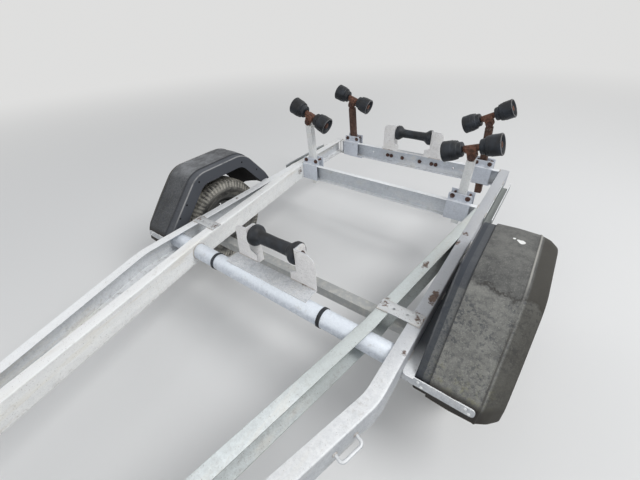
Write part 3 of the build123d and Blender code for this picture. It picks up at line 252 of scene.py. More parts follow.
class Sheet(NodeHost):
    """A material's or a world's node tree."""

    def __init__(self, name: str, world: bool = False) -> None:
        """Make an empty material or world with an output node.

        Args:
            name: Its name.
            world: Whether it is a world.
        """
        self.material = (bpy.data.worlds if world else bpy.data.materials).new(name)
        self.material.use_nodes = True
        self.tree = self.material.node_tree
        self.tree.nodes.clear()
        self.output = self.tree.nodes.new("ShaderNodeOutputWorld" if world else "ShaderNodeOutputMaterial")
        source = self.tree.nodes.new("ShaderNodeTexCoord")
        self.coordinates = source.outputs["Object"]
        self.normal = source.outputs["Normal"]

    def axis(self, name: str) -> Num:
        """Return one of the object coordinates X, Y or Z."""
        node = self.node("ShaderNodeSeparateXYZ", {}, {0: self.coordinates})
        return Num(self, node.outputs[name])

    def facing(self, name: str) -> Num:
        """Return one component of the surface's own normal."""
        node = self.node("ShaderNodeSeparateXYZ", {}, {0: self.normal})
        return Num(self, node.outputs[name])

    def stretched(self, scale: Point, offset: Point = (0.0, 0.0, 0.0)) -> Any:
        """Return the object coordinates scaled and moved, for streaks and grain."""
        values = {"Vector": self.coordinates, "Scale": scale, "Location": offset}
        return self.node("ShaderNodeMapping", {}, values).outputs[0]

    def noise(self, scale: float, detail: float = 4.0, rough: float = 0.55, vector: Any = None) -> Num:
        """Return a noise value.

        Args:
            scale: How many features to the metre.
            detail: How many octaves.
            rough: How strong the fine octaves are.
            vector: Coordinates, or None for the plain object coordinates.

        Returns:
            The noise, near 0 to 1.
        """
        values = {"Vector": self.coordinates if vector is None else vector, "Scale": scale, "Detail": detail,
                  "Roughness": rough}
        return Num(self, self.node("ShaderNodeTexNoise", {}, values).outputs["Fac"])

    def cell_tone(self, scale: float) -> Num:
        """Return one random number for each Voronoi cell."""
        node = self.node("ShaderNodeTexVoronoi", {}, {"Vector": self.coordinates, "Scale": scale})
        split = self.node("ShaderNodeSeparateColor", {}, {0: node.outputs["Color"]})
        return Num(self, split.outputs[0])

    def near(self, centre: Point, radius: float, along: float = 1.0, soft: float = 0.18) -> Num:
        """Return a mask that is 1 close to a point and 0 past a radius.

        Args:
            centre: The point, in metres.
            radius: Where the mask ends.
            along: How much longer the mask is along Y than across.
            soft: The share of the radius over which the mask falls.

        Returns:
            The mask.
        """
        away = self.node("ShaderNodeVectorMath", {"operation": "SUBTRACT"}, {0: self.coordinates, 1: centre})
        squeezed = self.node("ShaderNodeVectorMath", {"operation": "MULTIPLY"},
                             {0: away.outputs[0], 1: (1.0, 1.0 / along, 1.0)})
        length = self.node("ShaderNodeVectorMath", {"operation": "LENGTH"}, {0: squeezed.outputs[0]})
        return Num(self, length.outputs["Value"]).between(radius, radius * (1.0 - soft))

    def attribute(self, name: str) -> Num:
        """Return a number that the mesh stores at its points."""
        return Num(self, self.node("ShaderNodeAttribute", {"attribute_name": name}, {}).outputs["Fac"])

    def ring(self, y: float, z: float) -> tuple[Num, Num]:
        """Return the distance from a line along X, and the angle round it.

        Args:
            y: The line's Y.
            z: The line's Z.

        Returns:
            The distance in metres and the angle in radians.
        """
        across, up = self.axis("Y") - y, self.axis("Z") - z
        return (across * across + up * up).root(), up.turn_from(across)

    def sees_background(self) -> Num:
        """Return 1 for the rays that see the background, so that metal shows it too.

        Returns:
            1 for camera, glossy and transmission rays, else 0.
        """
        path = self.node("ShaderNodeLightPath", {}, {})
        seen = Num(self, path.outputs["Is Camera Ray"])
        for kind in ("Is Glossy Ray", "Is Transmission Ray"):
            seen = seen.larger(Num(self, path.outputs[kind]))
        return seen

    def colour(self, value: Colour) -> Tint:
        """Return a plain colour as a start for mixing."""
        return Tint(self, value)

    def bump(self, height: Num, distance: float, strength: float = 1.0, under: Any = None) -> Any:
        """Return a bumped normal.

        Args:
            height: The height value.
            distance: How high 1 stands, in metres.
            strength: How much of it shows.
            under: A normal from another bump below this one, or None.

        Returns:
            The normal socket.
        """
        values: dict[Any, Any] = {"Height": height, "Distance": distance, "Strength": strength}
        if under is not None:
            values["Normal"] = under
        return self.node("ShaderNodeBump", {}, values).outputs["Normal"]

    def finish(self, base: Any, roughness: Any, metallic: Any = 0.0, normal: Any = None,
               settings: dict[str, float] | None = None) -> bpy.types.Material:
        """Close the material with its main shader.

        Args:
            base: The colour.
            roughness: The roughness.
            metallic: How metallic it is.
            normal: The bumped normal, or None.
            settings: Constant values of other sockets.

        Returns:
            The material.
        """
        values: dict[Any, Any] = {"Base Color": base, "Roughness": roughness, "Metallic": metallic}
        values.update(settings or {})
        if normal is not None:
            values["Normal"] = normal
        shader = self.node("ShaderNodeBsdfPrincipled", {}, values)
        self.tree.links.new(shader.outputs[0], self.output.inputs[0])
        return self.material


@dataclass(frozen=True)
class RustSpot:
    """A patch of rust at one place."""

    place: Point
    radius: float
    strength: float = 0.85
    along: float = 1.0


@dataclass(frozen=True)
class PaintedShade:
    """Painted shade: a darker colour that grows along the trailer, below a height."""

    none_at: float
    full_at: float
    colour: Colour
    amount: float
    below: float = 1.0


@dataclass(frozen=True)
class Galvanised:
    """Hot-dip galvanised steel: painted top light gives its up-facing faces the top colour, duller on its sides,
    with a cream bloom, rusty edges and optional painted shade.
    """

    name: str = "galvanised"
    light: Colour = (0.62, 0.64, 0.66)
    shade: Colour = (0.38, 0.40, 0.43)
    # The up-facing faces' colour and how much of it shows: painted top light.
    top: Colour = (0.91, 0.92, 0.925)
    painted_top_light: float = 0.85
    bloom: Colour = (0.80, 0.77, 0.70)
    rust: Colour = (0.090, 0.047, 0.032)
    cream: float = 0.45
    flecks: float = 0.35
    crystal: float = 0.20
    crystal_scale: float = 150.0
    low_edge: float = 0.337
    low_reach: float = 0.03
    edge_rust: float = 0.45
    metal: float = 0.22
    painted_shade: PaintedShade | None = None
    spots: tuple[RustSpot, ...] = ()
    dirt: Colour = (0.30, 0.27, 0.215)
    pale_rust: Colour = (0.17, 0.105, 0.070)

    def build(self) -> bpy.types.Material:
        """Mix the steel's layers.

        Returns:
            The material.
        """
        s = Sheet(self.name)
        broad = s.noise(3.4, 5.0, 0.6)
        mottle = s.noise(46.0, 8.0, 0.74)
        grit = s.noise(150.0, 6.0, 0.76)
        tone = (broad.between(0.30, 0.66) * 0.26 + mottle.between(0.36, 0.62) * 0.28
                + grit.between(0.40, 0.60) * 0.26 + s.cell_tone(self.crystal_scale) * self.crystal)
        base = s.colour(self.shade).blend(self.light, tone)
        # Painted top light: up-facing faces blend towards the top colour.
        painted_top = s.colour(self.light).blend(self.top, tone * 0.75 + 0.35)
        base = base.blend(painted_top, s.facing("Z").between(0.25, 0.85) * self.painted_top_light)
        streak = s.noise(7.0, 6.0, 0.65, s.stretched((1.0, 0.25, 2.5)))
        base = base.blend(self.bloom, streak.between(0.50, 0.68) * self.cream)
        dirt = s.noise(26.0, 9.0, 0.78).between(0.55, 0.70)
        base = base.blend(self.dirt, dirt * 0.34)
        # Painted shade laid over the finish, growing along Y below a height.
        if self.painted_shade is not None:
            g = self.painted_shade
            film = s.axis("Y").between(g.none_at, g.full_at) * s.axis("Z").between(g.below, g.below - 0.012)
            base = base.blend(g.colour, film * g.amount)
        low = s.axis("Z").between(self.low_edge + self.low_reach, self.low_edge)
        specks = s.noise(210.0, 4.0, 0.6).between(0.63, 0.68)
        edge = low * s.noise(38.0, 9.0, 0.80).between(0.50, 0.64) * self.edge_rust
        rust = edge.larger(specks * self.flecks)
        if self.spots:
            rust = rust.larger(self.stains(s))
        brown = s.colour(self.rust).blend(self.pale_rust, s.noise(120.0, 5.0, 0.7).between(0.4, 0.65))
        base = base.blend(brown, rust * 0.92)
        grain = s.bump(grit, 0.0006, 0.5)
        lumps = s.bump(mottle + rust * 0.3, 0.0008, 0.40, grain)
        return s.finish(base, 0.44 + mottle * 0.22 + rust * 0.25, self.metal - rust * self.metal, lumps)

    def stains(self, s: Sheet) -> Num:
        """Return the mask of the rust patches, whose edges break up into flecks.

        Args:
            s: The material's sheet.

        Returns:
            The mask.
        """
        cover: Num | None = None
        for spot in self.spots:
            mask = s.near(spot.place, spot.radius * 1.35, spot.along, 0.85) * spot.strength
            cover = mask if cover is None else cover.larger(mask)
        ragged = (s.noise(75.0, 9.0, 0.80) - 0.5) * 4.2
        return (cover + ragged * cover.between(0.02, 0.30)).between(0.45, 0.75)


@dataclass(frozen=True)
class RustySteel:
    """Steel under rust, from a thin film to a thick crust."""

    name: str = "rusty_steel"
    clean: Colour = (0.30, 0.29, 0.27)
    film: Colour = (0.42, 0.40, 0.36)
    light_rust: Colour = (0.25, 0.12, 0.06)
    dark_rust: Colour = (0.07, 0.035, 0.024)
    amount: float = 0.5

    def build(self) -> bpy.types.Material:
        """Mix the steel's layers.

        Returns:
            The material.
        """
        s = Sheet(self.name)
        broad = s.noise(20.0, 8.0, 0.7)
        fine = s.noise(140.0, 5.0, 0.7)
        cover = (broad * 0.7 + fine * 0.3).between(0.72 - self.amount * 0.4, 0.80 - self.amount * 0.4)
        rust = s.colour(self.dark_rust).blend(self.light_rust, s.noise(65.0, 6.0, 0.7).between(0.36, 0.64))
        metal = s.colour(self.clean).blend(self.film, s.noise(45.0, 5.0, 0.6).between(0.4, 0.7) * 0.7)
        normal = s.bump(fine + cover * 0.8, 0.0009, 0.6)
        return s.finish(metal.blend(rust, cover), 0.52 + cover * 0.36, 0.42 - cover * 0.40, normal)


@dataclass(frozen=True)
class Rubber:
    """Black rubber with a bluish bloom, scuffs and dust."""

    name: str = "rubber"
    base: Colour = (0.014, 0.016, 0.019)
    bloom: Colour = (0.045, 0.052, 0.064)
    dust: Colour = (0.22, 0.19, 0.15)
    scuffed: Colour = (0.15, 0.15, 0.16)
    dust_amount: float = 0.14
    roughness: float = 0.38

    def build(self) -> bpy.types.Material:
        """Mix the rubber's layers.

        Returns:
            The material.
        """
        s = Sheet(self.name)
        broad = s.noise(16.0, 6.0, 0.6)
        fine = s.noise(190.0, 5.0, 0.7)
        base = s.colour(self.base).blend(self.bloom, broad.between(0.35, 0.7))
        dust = s.noise(30.0, 8.0, 0.75).between(0.48, 0.72) * 0.6 + s.facing("Z").between(0.1, 0.9) * 0.4
        base = base.blend(self.dust, dust * self.dust_amount)
        scuff = s.noise(55.0, 6.0, 0.8).between(0.66, 0.72)
        base = base.blend(self.scuffed, scuff * 0.35)
        normal = s.bump(fine + scuff * 0.5, 0.0005, 0.45)
        rough = self.roughness + broad * 0.16 + dust * 0.2
        return s.finish(base, rough, 0.0, normal, {"Specular IOR Level": 0.34})


@dataclass(frozen=True)
class GuardPlastic:
    """Faded black moulded plastic: a dusty, mossy front slope, a pale crease, a dark outer wall, painted shade on
    its front and underside, a bluish painted sheen, and painted highlights on its tops, inner edge and lip.
    """

    name: str = "guard_plastic"
    side: Side = Side.RIGHT
    dust: float = 1.0
    dark: Colour = (0.045, 0.046, 0.048)
    faded_and_sunlit: Colour = (0.175, 0.175, 0.165)
    sky_sheen: Colour = (0.066, 0.073, 0.086)
    blot: Colour = (0.052, 0.057, 0.068)
    dusty: Colour = (0.252, 0.252, 0.234)
    speck: Colour = (0.40, 0.39, 0.35)
    lichen: Colour = (0.225, 0.215, 0.090)
    outer: Colour = (0.048, 0.045, 0.038)
    front: Colour = (0.030, 0.026, 0.023)
    lip: Colour = (0.170, 0.158, 0.098)
    under: Colour = (0.013, 0.013, 0.013)
    dark_sheen: Colour = (0.040, 0.046, 0.057)
    rubbed_highlight: Colour = (0.34, 0.34, 0.34)
    pale_crease: Colour = (0.42, 0.41, 0.38)
    dropping: Colour = (0.82, 0.82, 0.80)
    hole: Colour = (0.008, 0.008, 0.008)
    edge_rub_and_highlight: float = 0.25
    inner_dark_sheen: float = 0.80
    faded_sunlit_from: float = 0.02
    faded_sunlit_full: float = 0.75
    slope_top: float = 0.700
    strip_x: float = 0.7205
    crease_x: float = 0.869
    drops: tuple[RustSpot, ...] = ()
    wall_holes: tuple[Flat, ...] = (
        (0.720, 0.597), (0.611, 0.509), (0.551, 0.457), (1.028, 0.593), (1.132, 0.506))
    wall_x: float = 0.674

    def build(self) -> bpy.types.Material:
        """Mix the plastic's layers.

        Returns:
            The material.
        """
        s = Sheet(self.name)
        x, y = abs(s.axis("X")), s.axis("Y")
        up = s.facing("Z").between(0.02, 0.75)
        broad = s.noise(4.5, 6.0, 0.62)
        cloud = s.noise(15.0, 8.0, 0.74)
        clumps = s.noise(38.0, 8.0, 0.78)
        # Paler up-facing faces: partly sun-faded plastic, partly a painted highlight; on the left guard a painted
        # sunlit patch on its top.
        faded_sunlit_up = s.facing("Z").between(self.faded_sunlit_from, self.faded_sunlit_full)
        fade_and_highlight = (broad.between(0.30, 0.66) * 0.5 + cloud.between(0.38, 0.64) * 0.5) * (0.06 + faded_sunlit_up * 0.94)
        base = s.colour(self.dark).blend(self.faded_and_sunlit, fade_and_highlight)
        edge = y + (s.noise(11.0, 4.0, 0.6) - 0.5) * 0.11
        slope = edge.between(self.slope_top, self.slope_top - 0.012) * up
        patches = (cloud * 0.5 + clumps * 0.5).between(0.40, 0.56)
        base = base.blend(self.dusty, slope * (0.34 + patches * 0.52) * self.dust)
        fine = s.noise(84.0, 8.0, 0.74, s.stretched((1.0, 1.0, 1.0), (5.0, 2.0, 7.0)))
        middle = s.noise(8.0, 4.0, 0.6, s.stretched((1.0, 1.0, 1.0), (3.0, 8.0, 1.0))).between(0.40, 0.58)
        blots = fine.between(0.50, 0.57) * (0.25 + middle * 0.75)
        base = base.blend(self.blot, blots * slope * 0.70)
        crack = abs(edge - self.slope_top).between(0.0042, 0.0008) * up * self.dust
        base = base.blend(self.front, crack * (0.25 + middle * 0.45))
        specks = s.noise(240.0, 6.0, 0.78).between(0.54, 0.66)
        base = base.blend(self.speck, specks * (0.14 + cloud * 0.40 + slope * 0.30) * (0.15 + up * 0.85))
        moss = clumps.between(0.50, 0.62) * y.between(0.56, 0.46) * up * self.dust
        base = base.blend(self.lichen, moss * 0.42)
        # Painted sheen: a bluish painted reflection on the step inside the strip, and a darker bluish one along
        # the inner edge.
        sheen_strip = x.between(self.strip_x + 0.002, self.strip_x - 0.002)
        base = base.blend(self.sky_sheen, sheen_strip * (0.74 - slope * 0.30))
        base = base.blend(self.dark_sheen, x.between(0.699, 0.696) * self.inner_dark_sheen)
        outside = x.between(self.crease_x + 0.004, self.crease_x + 0.012)
        base = base.blend(self.outer, outside * (0.90 - slope * 0.22))
        # Pale rounded inner edge: partly rubbed wear, partly a painted highlight.
        turn = abs(s.facing("X"))
        rubbed_highlight_edge = turn.between(0.12, 0.40) * turn.between(0.99, 0.85)
        rubbed_highlight_edge = rubbed_highlight_edge * x.between(self.strip_x - 0.02, self.wall_x + 0.006)
        rubbed_highlight_edge = rubbed_highlight_edge * s.noise(9.0, 6.0, 0.7).between(0.32, 0.52)
        base = base.blend(self.rubbed_highlight, rubbed_highlight_edge * y.between(0.46, 0.60) * self.edge_rub_and_highlight)
        crease = abs(x - self.crease_x).between(0.0042, 0.0012) * up
        base = base.blend(self.pale_crease, crease * y.between(0.66, 0.80) * 0.75)
        base = base.blend(self.front, crease * y.between(0.70, 0.60) * 0.65)
        # Painted shade on the front face below the strap.
        base = base.blend(self.front, y.between(0.466, 0.454) * 0.85)
        # Olive tint on the rolled lip at the ends, partly a painted highlight.
        ends = y.between(0.500, 0.462).larger(y.between(1.258, 1.275))
        base = base.blend(self.lip, s.attribute("lip").between(0.35, 0.9) * ends * (0.45 + cloud * 0.5))
        for spot in self.drops:
            splash = s.near(spot.place, spot.radius * 1.2, 1.0, 0.8) + (clumps - 0.5) * 1.6
            base = base.blend(self.dropping, splash.between(0.35, 0.55))
        # Near-black dots for the wall's holes: painted shade in openings the mesh does not have.
        for hole_y, hole_z in self.wall_holes:
            mask = s.near((self.side.value * self.wall_x, hole_y, hole_z), 0.0062)
            base = base.blend(self.hole, mask)
        # Painted shade: the shell's inner faces, under the guard, are near black.
        base = base.blend(self.under, s.attribute("inside") * 0.92)
        normal = s.bump(s.noise(420.0, 3.0, 0.6), 0.0004, 0.5)
        normal = s.bump(cloud + crack * -0.6, 0.0007, 0.35, normal)
        return s.finish(base, 0.56 + cloud * 0.24, 0.0, normal, {"Specular IOR Level": 0.22})


@dataclass(frozen=True)
class ChalkyPaint:
    """Silver grey paint that has chalked and chipped to rust."""

    name: str = "chalky_paint"
    base: Colour = (0.38, 0.39, 0.39)
    chalk: Colour = (0.52, 0.52, 0.50)
    rust: Colour = (0.18, 0.085, 0.045)
    flaked: Colour = (0.40, 0.26, 0.16)
    inner_dark: Colour = (0.040, 0.040, 0.036)
    darker_inside: float = 0.0

    def build(self) -> bpy.types.Material:
        """Mix the paint's layers.

        Returns:
            The material.
        """
        s = Sheet(self.name)
        cloud = s.noise(22.0, 7.0, 0.65)
        flake = s.noise(70.0, 8.0, 0.75)
        chips = flake.between(0.60, 0.64)
        base = s.colour(self.base).blend(self.chalk, cloud.between(0.4, 0.65) * 0.7)
        base = base.blend(self.flaked, flake.between(0.54, 0.64) * 0.5).blend(self.rust, chips)
        # Darker on the wheel's inner side.
        if self.darker_inside:
            inner = abs(s.axis("X")).between(WHEEL_X + 0.020, WHEEL_X - 0.010)
            base = base.blend(self.inner_dark, inner * (0.72 + cloud * 0.4) * self.darker_inside)
        normal = s.bump(s.noise(240.0, 4.0, 0.6) - chips * 1.5, 0.0005, 0.5)
        return s.finish(base, 0.50 + cloud * 0.15 + chips * 0.25, 0.15 - chips * 0.15, normal)


@dataclass(frozen=True)
class TyreRubber:
    """Dusty tyre rubber, with pale dust between the ribs of its shoulders."""

    name: str = "tyre_rubber"
    base: Colour = (0.034, 0.034, 0.034)
    wall: Colour = (0.170, 0.167, 0.155)
    dust: Colour = (0.52, 0.495, 0.43)
    crown: Colour = (0.34, 0.32, 0.27)
    ribs: float = 66.0

    def build(self) -> bpy.types.Material:
        """Mix the rubber's layers.

        Returns:
            The material.
        """
        s = Sheet(self.name)
        cloud = s.noise(12.0, 8.0, 0.7)
        fine = s.noise(150.0, 6.0, 0.7)
        radius, angle = s.ring(WHEEL_Y, WHEEL_Z)
        rib = (angle * self.ribs).sine().between(-0.25, 0.35)
        shoulder = radius.between(0.212, 0.224) * radius.between(0.2625, 0.2575)
        dust = (cloud * 0.6 + fine * 0.4).between(0.40, 0.62)
        base = s.colour(self.base).blend(self.wall, cloud.between(0.36, 0.60))
        base = base.blend(self.dust, dust * 0.32 + shoulder * (0.06 + rib * 0.62) * (0.45 + dust * 0.55))
        crown = radius.between(0.2555, 0.2605)
        base = base.blend(self.crown, crown * (0.30 + dust * 0.50))
        lower_band = radius.between(0.180, 0.190) * radius.between(0.206, 0.198)
        base = base.blend(self.base, lower_band * 0.5)
        height = fine * 0.25 + shoulder * (1.0 - rib) * 0.9
        return s.finish(base, 0.78 + cloud * 0.12, 0.0, s.bump(height, 0.0016, 0.6))


class Finishes:
    """Every finish of the trailer, each built once."""

    def __init__(self) -> None:
        """Build the materials."""
        top = RAIL_TOP
        self.zinc = Galvanised(edge_rust=0.35).build()
        # Painted shade on this rail, darker towards the rear from Y 0.30 to 0.66.
        self.outer_right = Galvanised(
            "outer_rail_right", painted_shade=PaintedShade(0.30, 0.66, (0.33, 0.345, 0.38), 0.66),
            spots=(
                RustSpot((0.619, 0.752, top), 0.017, 1.25, 2.9), RustSpot((0.600, 0.630, top), 0.034, 0.72),
                RustSpot((0.588, 1.130, top), 0.018, 0.75, 1.6), RustSpot((0.600, 1.216, top), 0.022, 0.8),
                RustSpot((0.622, 0.472, top), 0.014, 0.7))).build()
        self.outer_left = Galvanised(
            "outer_rail_left", light=(0.80, 0.82, 0.84), shade=(0.54, 0.56, 0.59), cream=0.55,
            spots=(RustSpot((-0.606, 0.641, top), 0.024, 0.75), RustSpot((-0.608, 0.886, top), 0.009, 1.1))
        ).build()
        # A duller copy of the rail zinc: painted shade on this rail, more painted shade from Y 0.12 to 0.30, and a
        # greenish painted reflection.
        self.shaded_inner_right = Galvanised(
            "inner_rail_right", light=(0.50, 0.52, 0.515), shade=(0.33, 0.345, 0.345), top=(0.86, 0.92, 0.93),
            cream=0.7, flecks=0.5, edge_rust=0.25, painted_shade=PaintedShade(0.12, 0.30, (0.44, 0.475, 0.46), 0.55),
            spots=(RustSpot((0.480, 0.640, top), 0.028, 0.7), RustSpot((0.526, 0.911, top), 0.016, 0.95, 2.2))
        ).build()
        # A paler, less metallic copy of the rail zinc: painted sunlight on the left inner rail.
        self.sunlit_inner_left = Galvanised(
            "inner_rail_left", light=(0.96, 0.96, 0.94), shade=(0.78, 0.79, 0.79), cream=0.8, flecks=0.5,
            metal=0.08,
            spots=(RustSpot((-0.486, 0.625, top), 0.018, 0.7), RustSpot((-0.560, 1.430, 0.400), 0.030, 0.75))
        ).build()
        self.tube_zinc = Galvanised(
            "tube_zinc", light=(0.70, 0.74, 0.80), shade=(0.44, 0.49, 0.56), top=(0.82, 0.87, 0.93),
            cream=0.08, flecks=0.10, crystal=0.42, crystal_scale=95.0, low_edge=0.0, edge_rust=0.0).build()
        self.cross_zinc = Galvanised(
            "cross_member", light=(0.70, 0.735, 0.775), shade=(0.50, 0.53, 0.57), cream=0.2,
            edge_rust=0.3).build()
        halo = tuple(RustSpot((x, 2.002, WEB_BOLTS_Z), 0.017, 0.9) for x in WEB_BOLTS_X)
        self.rear_zinc = Galvanised(
            "rear_member", light=(0.66, 0.70, 0.76), shade=(0.44, 0.47, 0.51), rust=(0.085, 0.050, 0.034),
            flecks=0.55, edge_rust=0.3, spots=halo + (RustSpot((0.303, 2.002, 0.387), 0.010),)).build()
        ends = tuple(RustSpot((sign * x, 0.620, 0.441), 0.026, 0.62)
                     for sign in SIGNS for x in (0.612, 0.480))
        self.tie_zinc = Galvanised(
            "tie_zinc", top=(0.60, 0.61, 0.61), cream=0.7, flecks=0.9, low_edge=0.0, spots=ends).build()
        # Painted shade under the mudguard: dark bluish behind Y 0.455, below Z 0.392.
        self.iron_zinc = Galvanised(
            "guard_irons", cream=0.5, flecks=0.5, low_edge=0.0,
            painted_shade=PaintedShade(0.455, 0.60, (0.042, 0.050, 0.064), 0.96, 0.392)).build()
        # Painted shade on the sleeves' recessed floor behind Y 1.38, below the lips.
        self.sleeve_zinc = Galvanised(
            "sleeve_zinc", cream=0.2, painted_shade=PaintedShade(1.38, 1.39, (0.205, 0.225, 0.21), 0.80, 0.429)).build()
        self.clamp_zinc = Galvanised(
            "clamp_zinc", light=(0.72, 0.76, 0.83), shade=(0.52, 0.555, 0.62), cream=0.10, painted_top_light=0.5,
            flecks=0.2, edge_rust=0.2).build()
        # A very pale copy of the zinc: painted light on the keel brackets' fronts, with their tops darker by the
        # painted top light.
        self.front_lit_bracket_zinc = Galvanised(
            "speckled_zinc", light=(0.98, 0.965, 0.96), shade=(0.70, 0.69, 0.685), top=(0.42, 0.45, 0.48),
            cream=0.25, painted_top_light=1.0, flecks=0.6, crystal=0.10, low_edge=0.0, edge_rust=0.0, metal=0.05).build()
        self.bright_zinc = Galvanised(
            "bright_zinc", light=(0.90, 0.91, 0.90), shade=(0.68, 0.70, 0.71), low_edge=0.0, flecks=0.2,
            edge_rust=0.0, metal=0.15).build()
        self.dull_steel = RustySteel(
            "dull_steel", clean=(0.40, 0.41, 0.41), film=(0.56, 0.55, 0.51), amount=0.28).build()
        self.rusty_iron = RustySteel(
            "rusty_iron", clean=(0.16, 0.10, 0.08), film=(0.26, 0.17, 0.13), light_rust=(0.19, 0.085, 0.055),
            amount=0.9).build()
        self.rusty_post = RustySteel(
            "rusty_post", clean=(0.13, 0.095, 0.075), film=(0.20, 0.15, 0.12),
            light_rust=(0.115, 0.060, 0.042), dark_rust=(0.045, 0.026, 0.020), amount=0.85).build()
        self.rusty_bolt = RustySteel(
            "rusty_bolt", clean=(0.15, 0.11, 0.10), film=(0.20, 0.15, 0.14),
            light_rust=(0.105, 0.048, 0.036), dark_rust=(0.045, 0.024, 0.020), amount=0.8).build()
        self.weld = RustySteel(
            "weld_bead", clean=(0.50, 0.48, 0.46), film=(0.60, 0.58, 0.55), light_rust=(0.22, 0.12, 0.075),
            amount=0.46).build()
        self.rubber = Rubber(
            base=(0.009, 0.0105, 0.013), bloom=(0.026, 0.032, 0.042), dust_amount=0.07).build()
        # Pale rubber for the roller cups' rims: a painted highlight.
        self.rim_highlight_rubber = Rubber(
            "rim_highlight_rubber", base=(0.10, 0.10, 0.105), bloom=(0.20, 0.20, 0.21), dust_amount=0.3).build()
        self.tyre = TyreRubber().build()
        self.guards = {
            Side.RIGHT: GuardPlastic("guard_right", drops=(
                RustSpot((0.817, 0.953, 0.645), 0.015), RustSpot((0.806, 0.957, 0.645), 0.008),
                RustSpot((0.792, 0.962, 0.645), 0.007))).build(),
            # Left guard: a painted sunlit patch on its top, a stronger painted highlight on its inner edge, and
            # its own bluish painted sheen.
            Side.LEFT: GuardPlastic(
                "guard_left", side=Side.LEFT, dust=0.0, inner_dark_sheen=0.0, faded_and_sunlit=(0.235, 0.242, 0.252),
                speck=(0.24, 0.245, 0.25), sky_sheen=(0.085, 0.092, 0.108), edge_rub_and_highlight=0.85, faded_sunlit_from=0.58,
                faded_sunlit_full=0.96).build(),
        }
        self.paint = ChalkyPaint().build()
        self.rim_paint = ChalkyPaint("rim_paint", darker_inside=0.9).build()


def linked(name: str, data: Any) -> bpy.types.Object:
    """Return a new object that holds a mesh, a camera or a lamp, linked to the scene.

    Args:
        name: The object's name.
        data: What it holds.

    Returns:
        The object.
    """
    obj = bpy.data.objects.new(name, data)
    bpy.context.scene.collection.objects.link(obj)
    return obj


def new_object(name: str, verts: Sequence[Any], faces: Sequence[Quad]) -> bpy.types.Object:
    """Return a linked mesh object made of points and faces, with its normals outwards.

    Args:
        name: The piece's name.
        verts: Points in metres.
        faces: Vertex indices of each face.

    Returns:
        The object, at the origin.
    """
    mesh = bpy.data.meshes.new(name)
    mesh.from_pydata([tuple(v) for v in verts], [], [tuple(f) for f in faces])
    bm = bmesh.new()
    bm.from_mesh(mesh)
    bmesh.ops.remove_doubles(bm, verts=bm.verts, dist=1e-6)
    bmesh.ops.recalc_face_normals(bm, faces=bm.faces)
    bm.to_mesh(mesh)
    bm.free()
    return linked(name, mesh)


def applied(obj: bpy.types.Object) -> bpy.types.Object:
    """Turn an object's modifiers into its own plain mesh.

    Args:
        obj: The object.

    Returns:
        The same object.
    """
    graph = bpy.context.evaluated_depsgraph_get()
    mesh = bpy.data.meshes.new_from_object(
        obj.evaluated_get(graph), preserve_all_data_layers=True, depsgraph=graph)
    old = obj.data
    obj.modifiers.clear()
    obj.data = mesh
    bpy.data.meshes.remove(old)
    mesh.name = obj.name
    return obj


def shade(obj: bpy.types.Object, angle: float = SHARP) -> None:
    """Smooth an object's faces, with sharp edges past an angle."""
    obj.data.shade_smooth()
    obj.data.set_sharp_from_angle(angle=angle)


def dressed(obj: bpy.types.Object, body: str, material: bpy.types.Material | None,
            nodes: Iterable[str] = ()) -> bpy.types.Object:
    """Give a finished piece its material, its body and the nodes it stands for.

    Args:
        obj: The piece.
        body: The CAD body that it rides on.
        material: Its finish, or None where its mesh has one.
        nodes: CAD nodes that it replaces.

    Returns:
        The piece.
    """
    if material is not None:
        obj.data.materials.clear()
        obj.data.materials.append(material)
    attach(obj, body)
    if nodes:
        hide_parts(*nodes)
    return obj


def body_of_node(node: str) -> str:
    """Return the CAD body that holds a node.

    Args:
        node: The node's name.

    Returns:
        The body's name.
    """
    for body, members in frame["record"]["behaviour"]["bodies"].items():
        if node in members:
            return body
    raise KeyError(node)


def joint_line(name: str) -> tuple[Vector, Vector]:
    """Return a joint's place and its axis.

    Args:
        name: The joint's name.

    Returns:
        The place and the axis as a unit vector.
    """
    for joint in frame["joints"]:
        if joint["name"] == name:
            return Vector(joint["pos_m"]), Vector(joint["axis"]).normalized()
    raise KeyError(name)


def rounded(points: Sequence[tuple[float, float, float]], steps: int = 4) -> list[Flat]:
    """Round the corners of an open line.

    Args:
        points: Places and the radius of each corner, as (a, b, radius).
        steps: Segments in each rounded corner.

    Returns:
        The points of the rounded line.
    """
    line: list[Flat] = [points[0][:2]]
    for before, here, after in zip(points[:-2], points[1:-1], points[2:]):
        corner = Vector(here[:2])
        u = Vector(before[:2]) - corner
        v = Vector(after[:2]) - corner
        if here[2] <= 0.0:
            line.append(here[:2])
            continue
        half = u.angle(v) / 2
        run = min(here[2] / math.tan(half), u.length * 0.49, v.length * 0.49)
        first = corner + u.normalized() * run
        last = corner + v.normalized() * run
        for i in range(steps + 1):
            t = i / steps
            spot = first * (1 - t) ** 2 + corner * 2 * t * (1 - t) + last * t ** 2
            line.append((spot.x, spot.y))
    line.append(points[-1][:2])
    return line


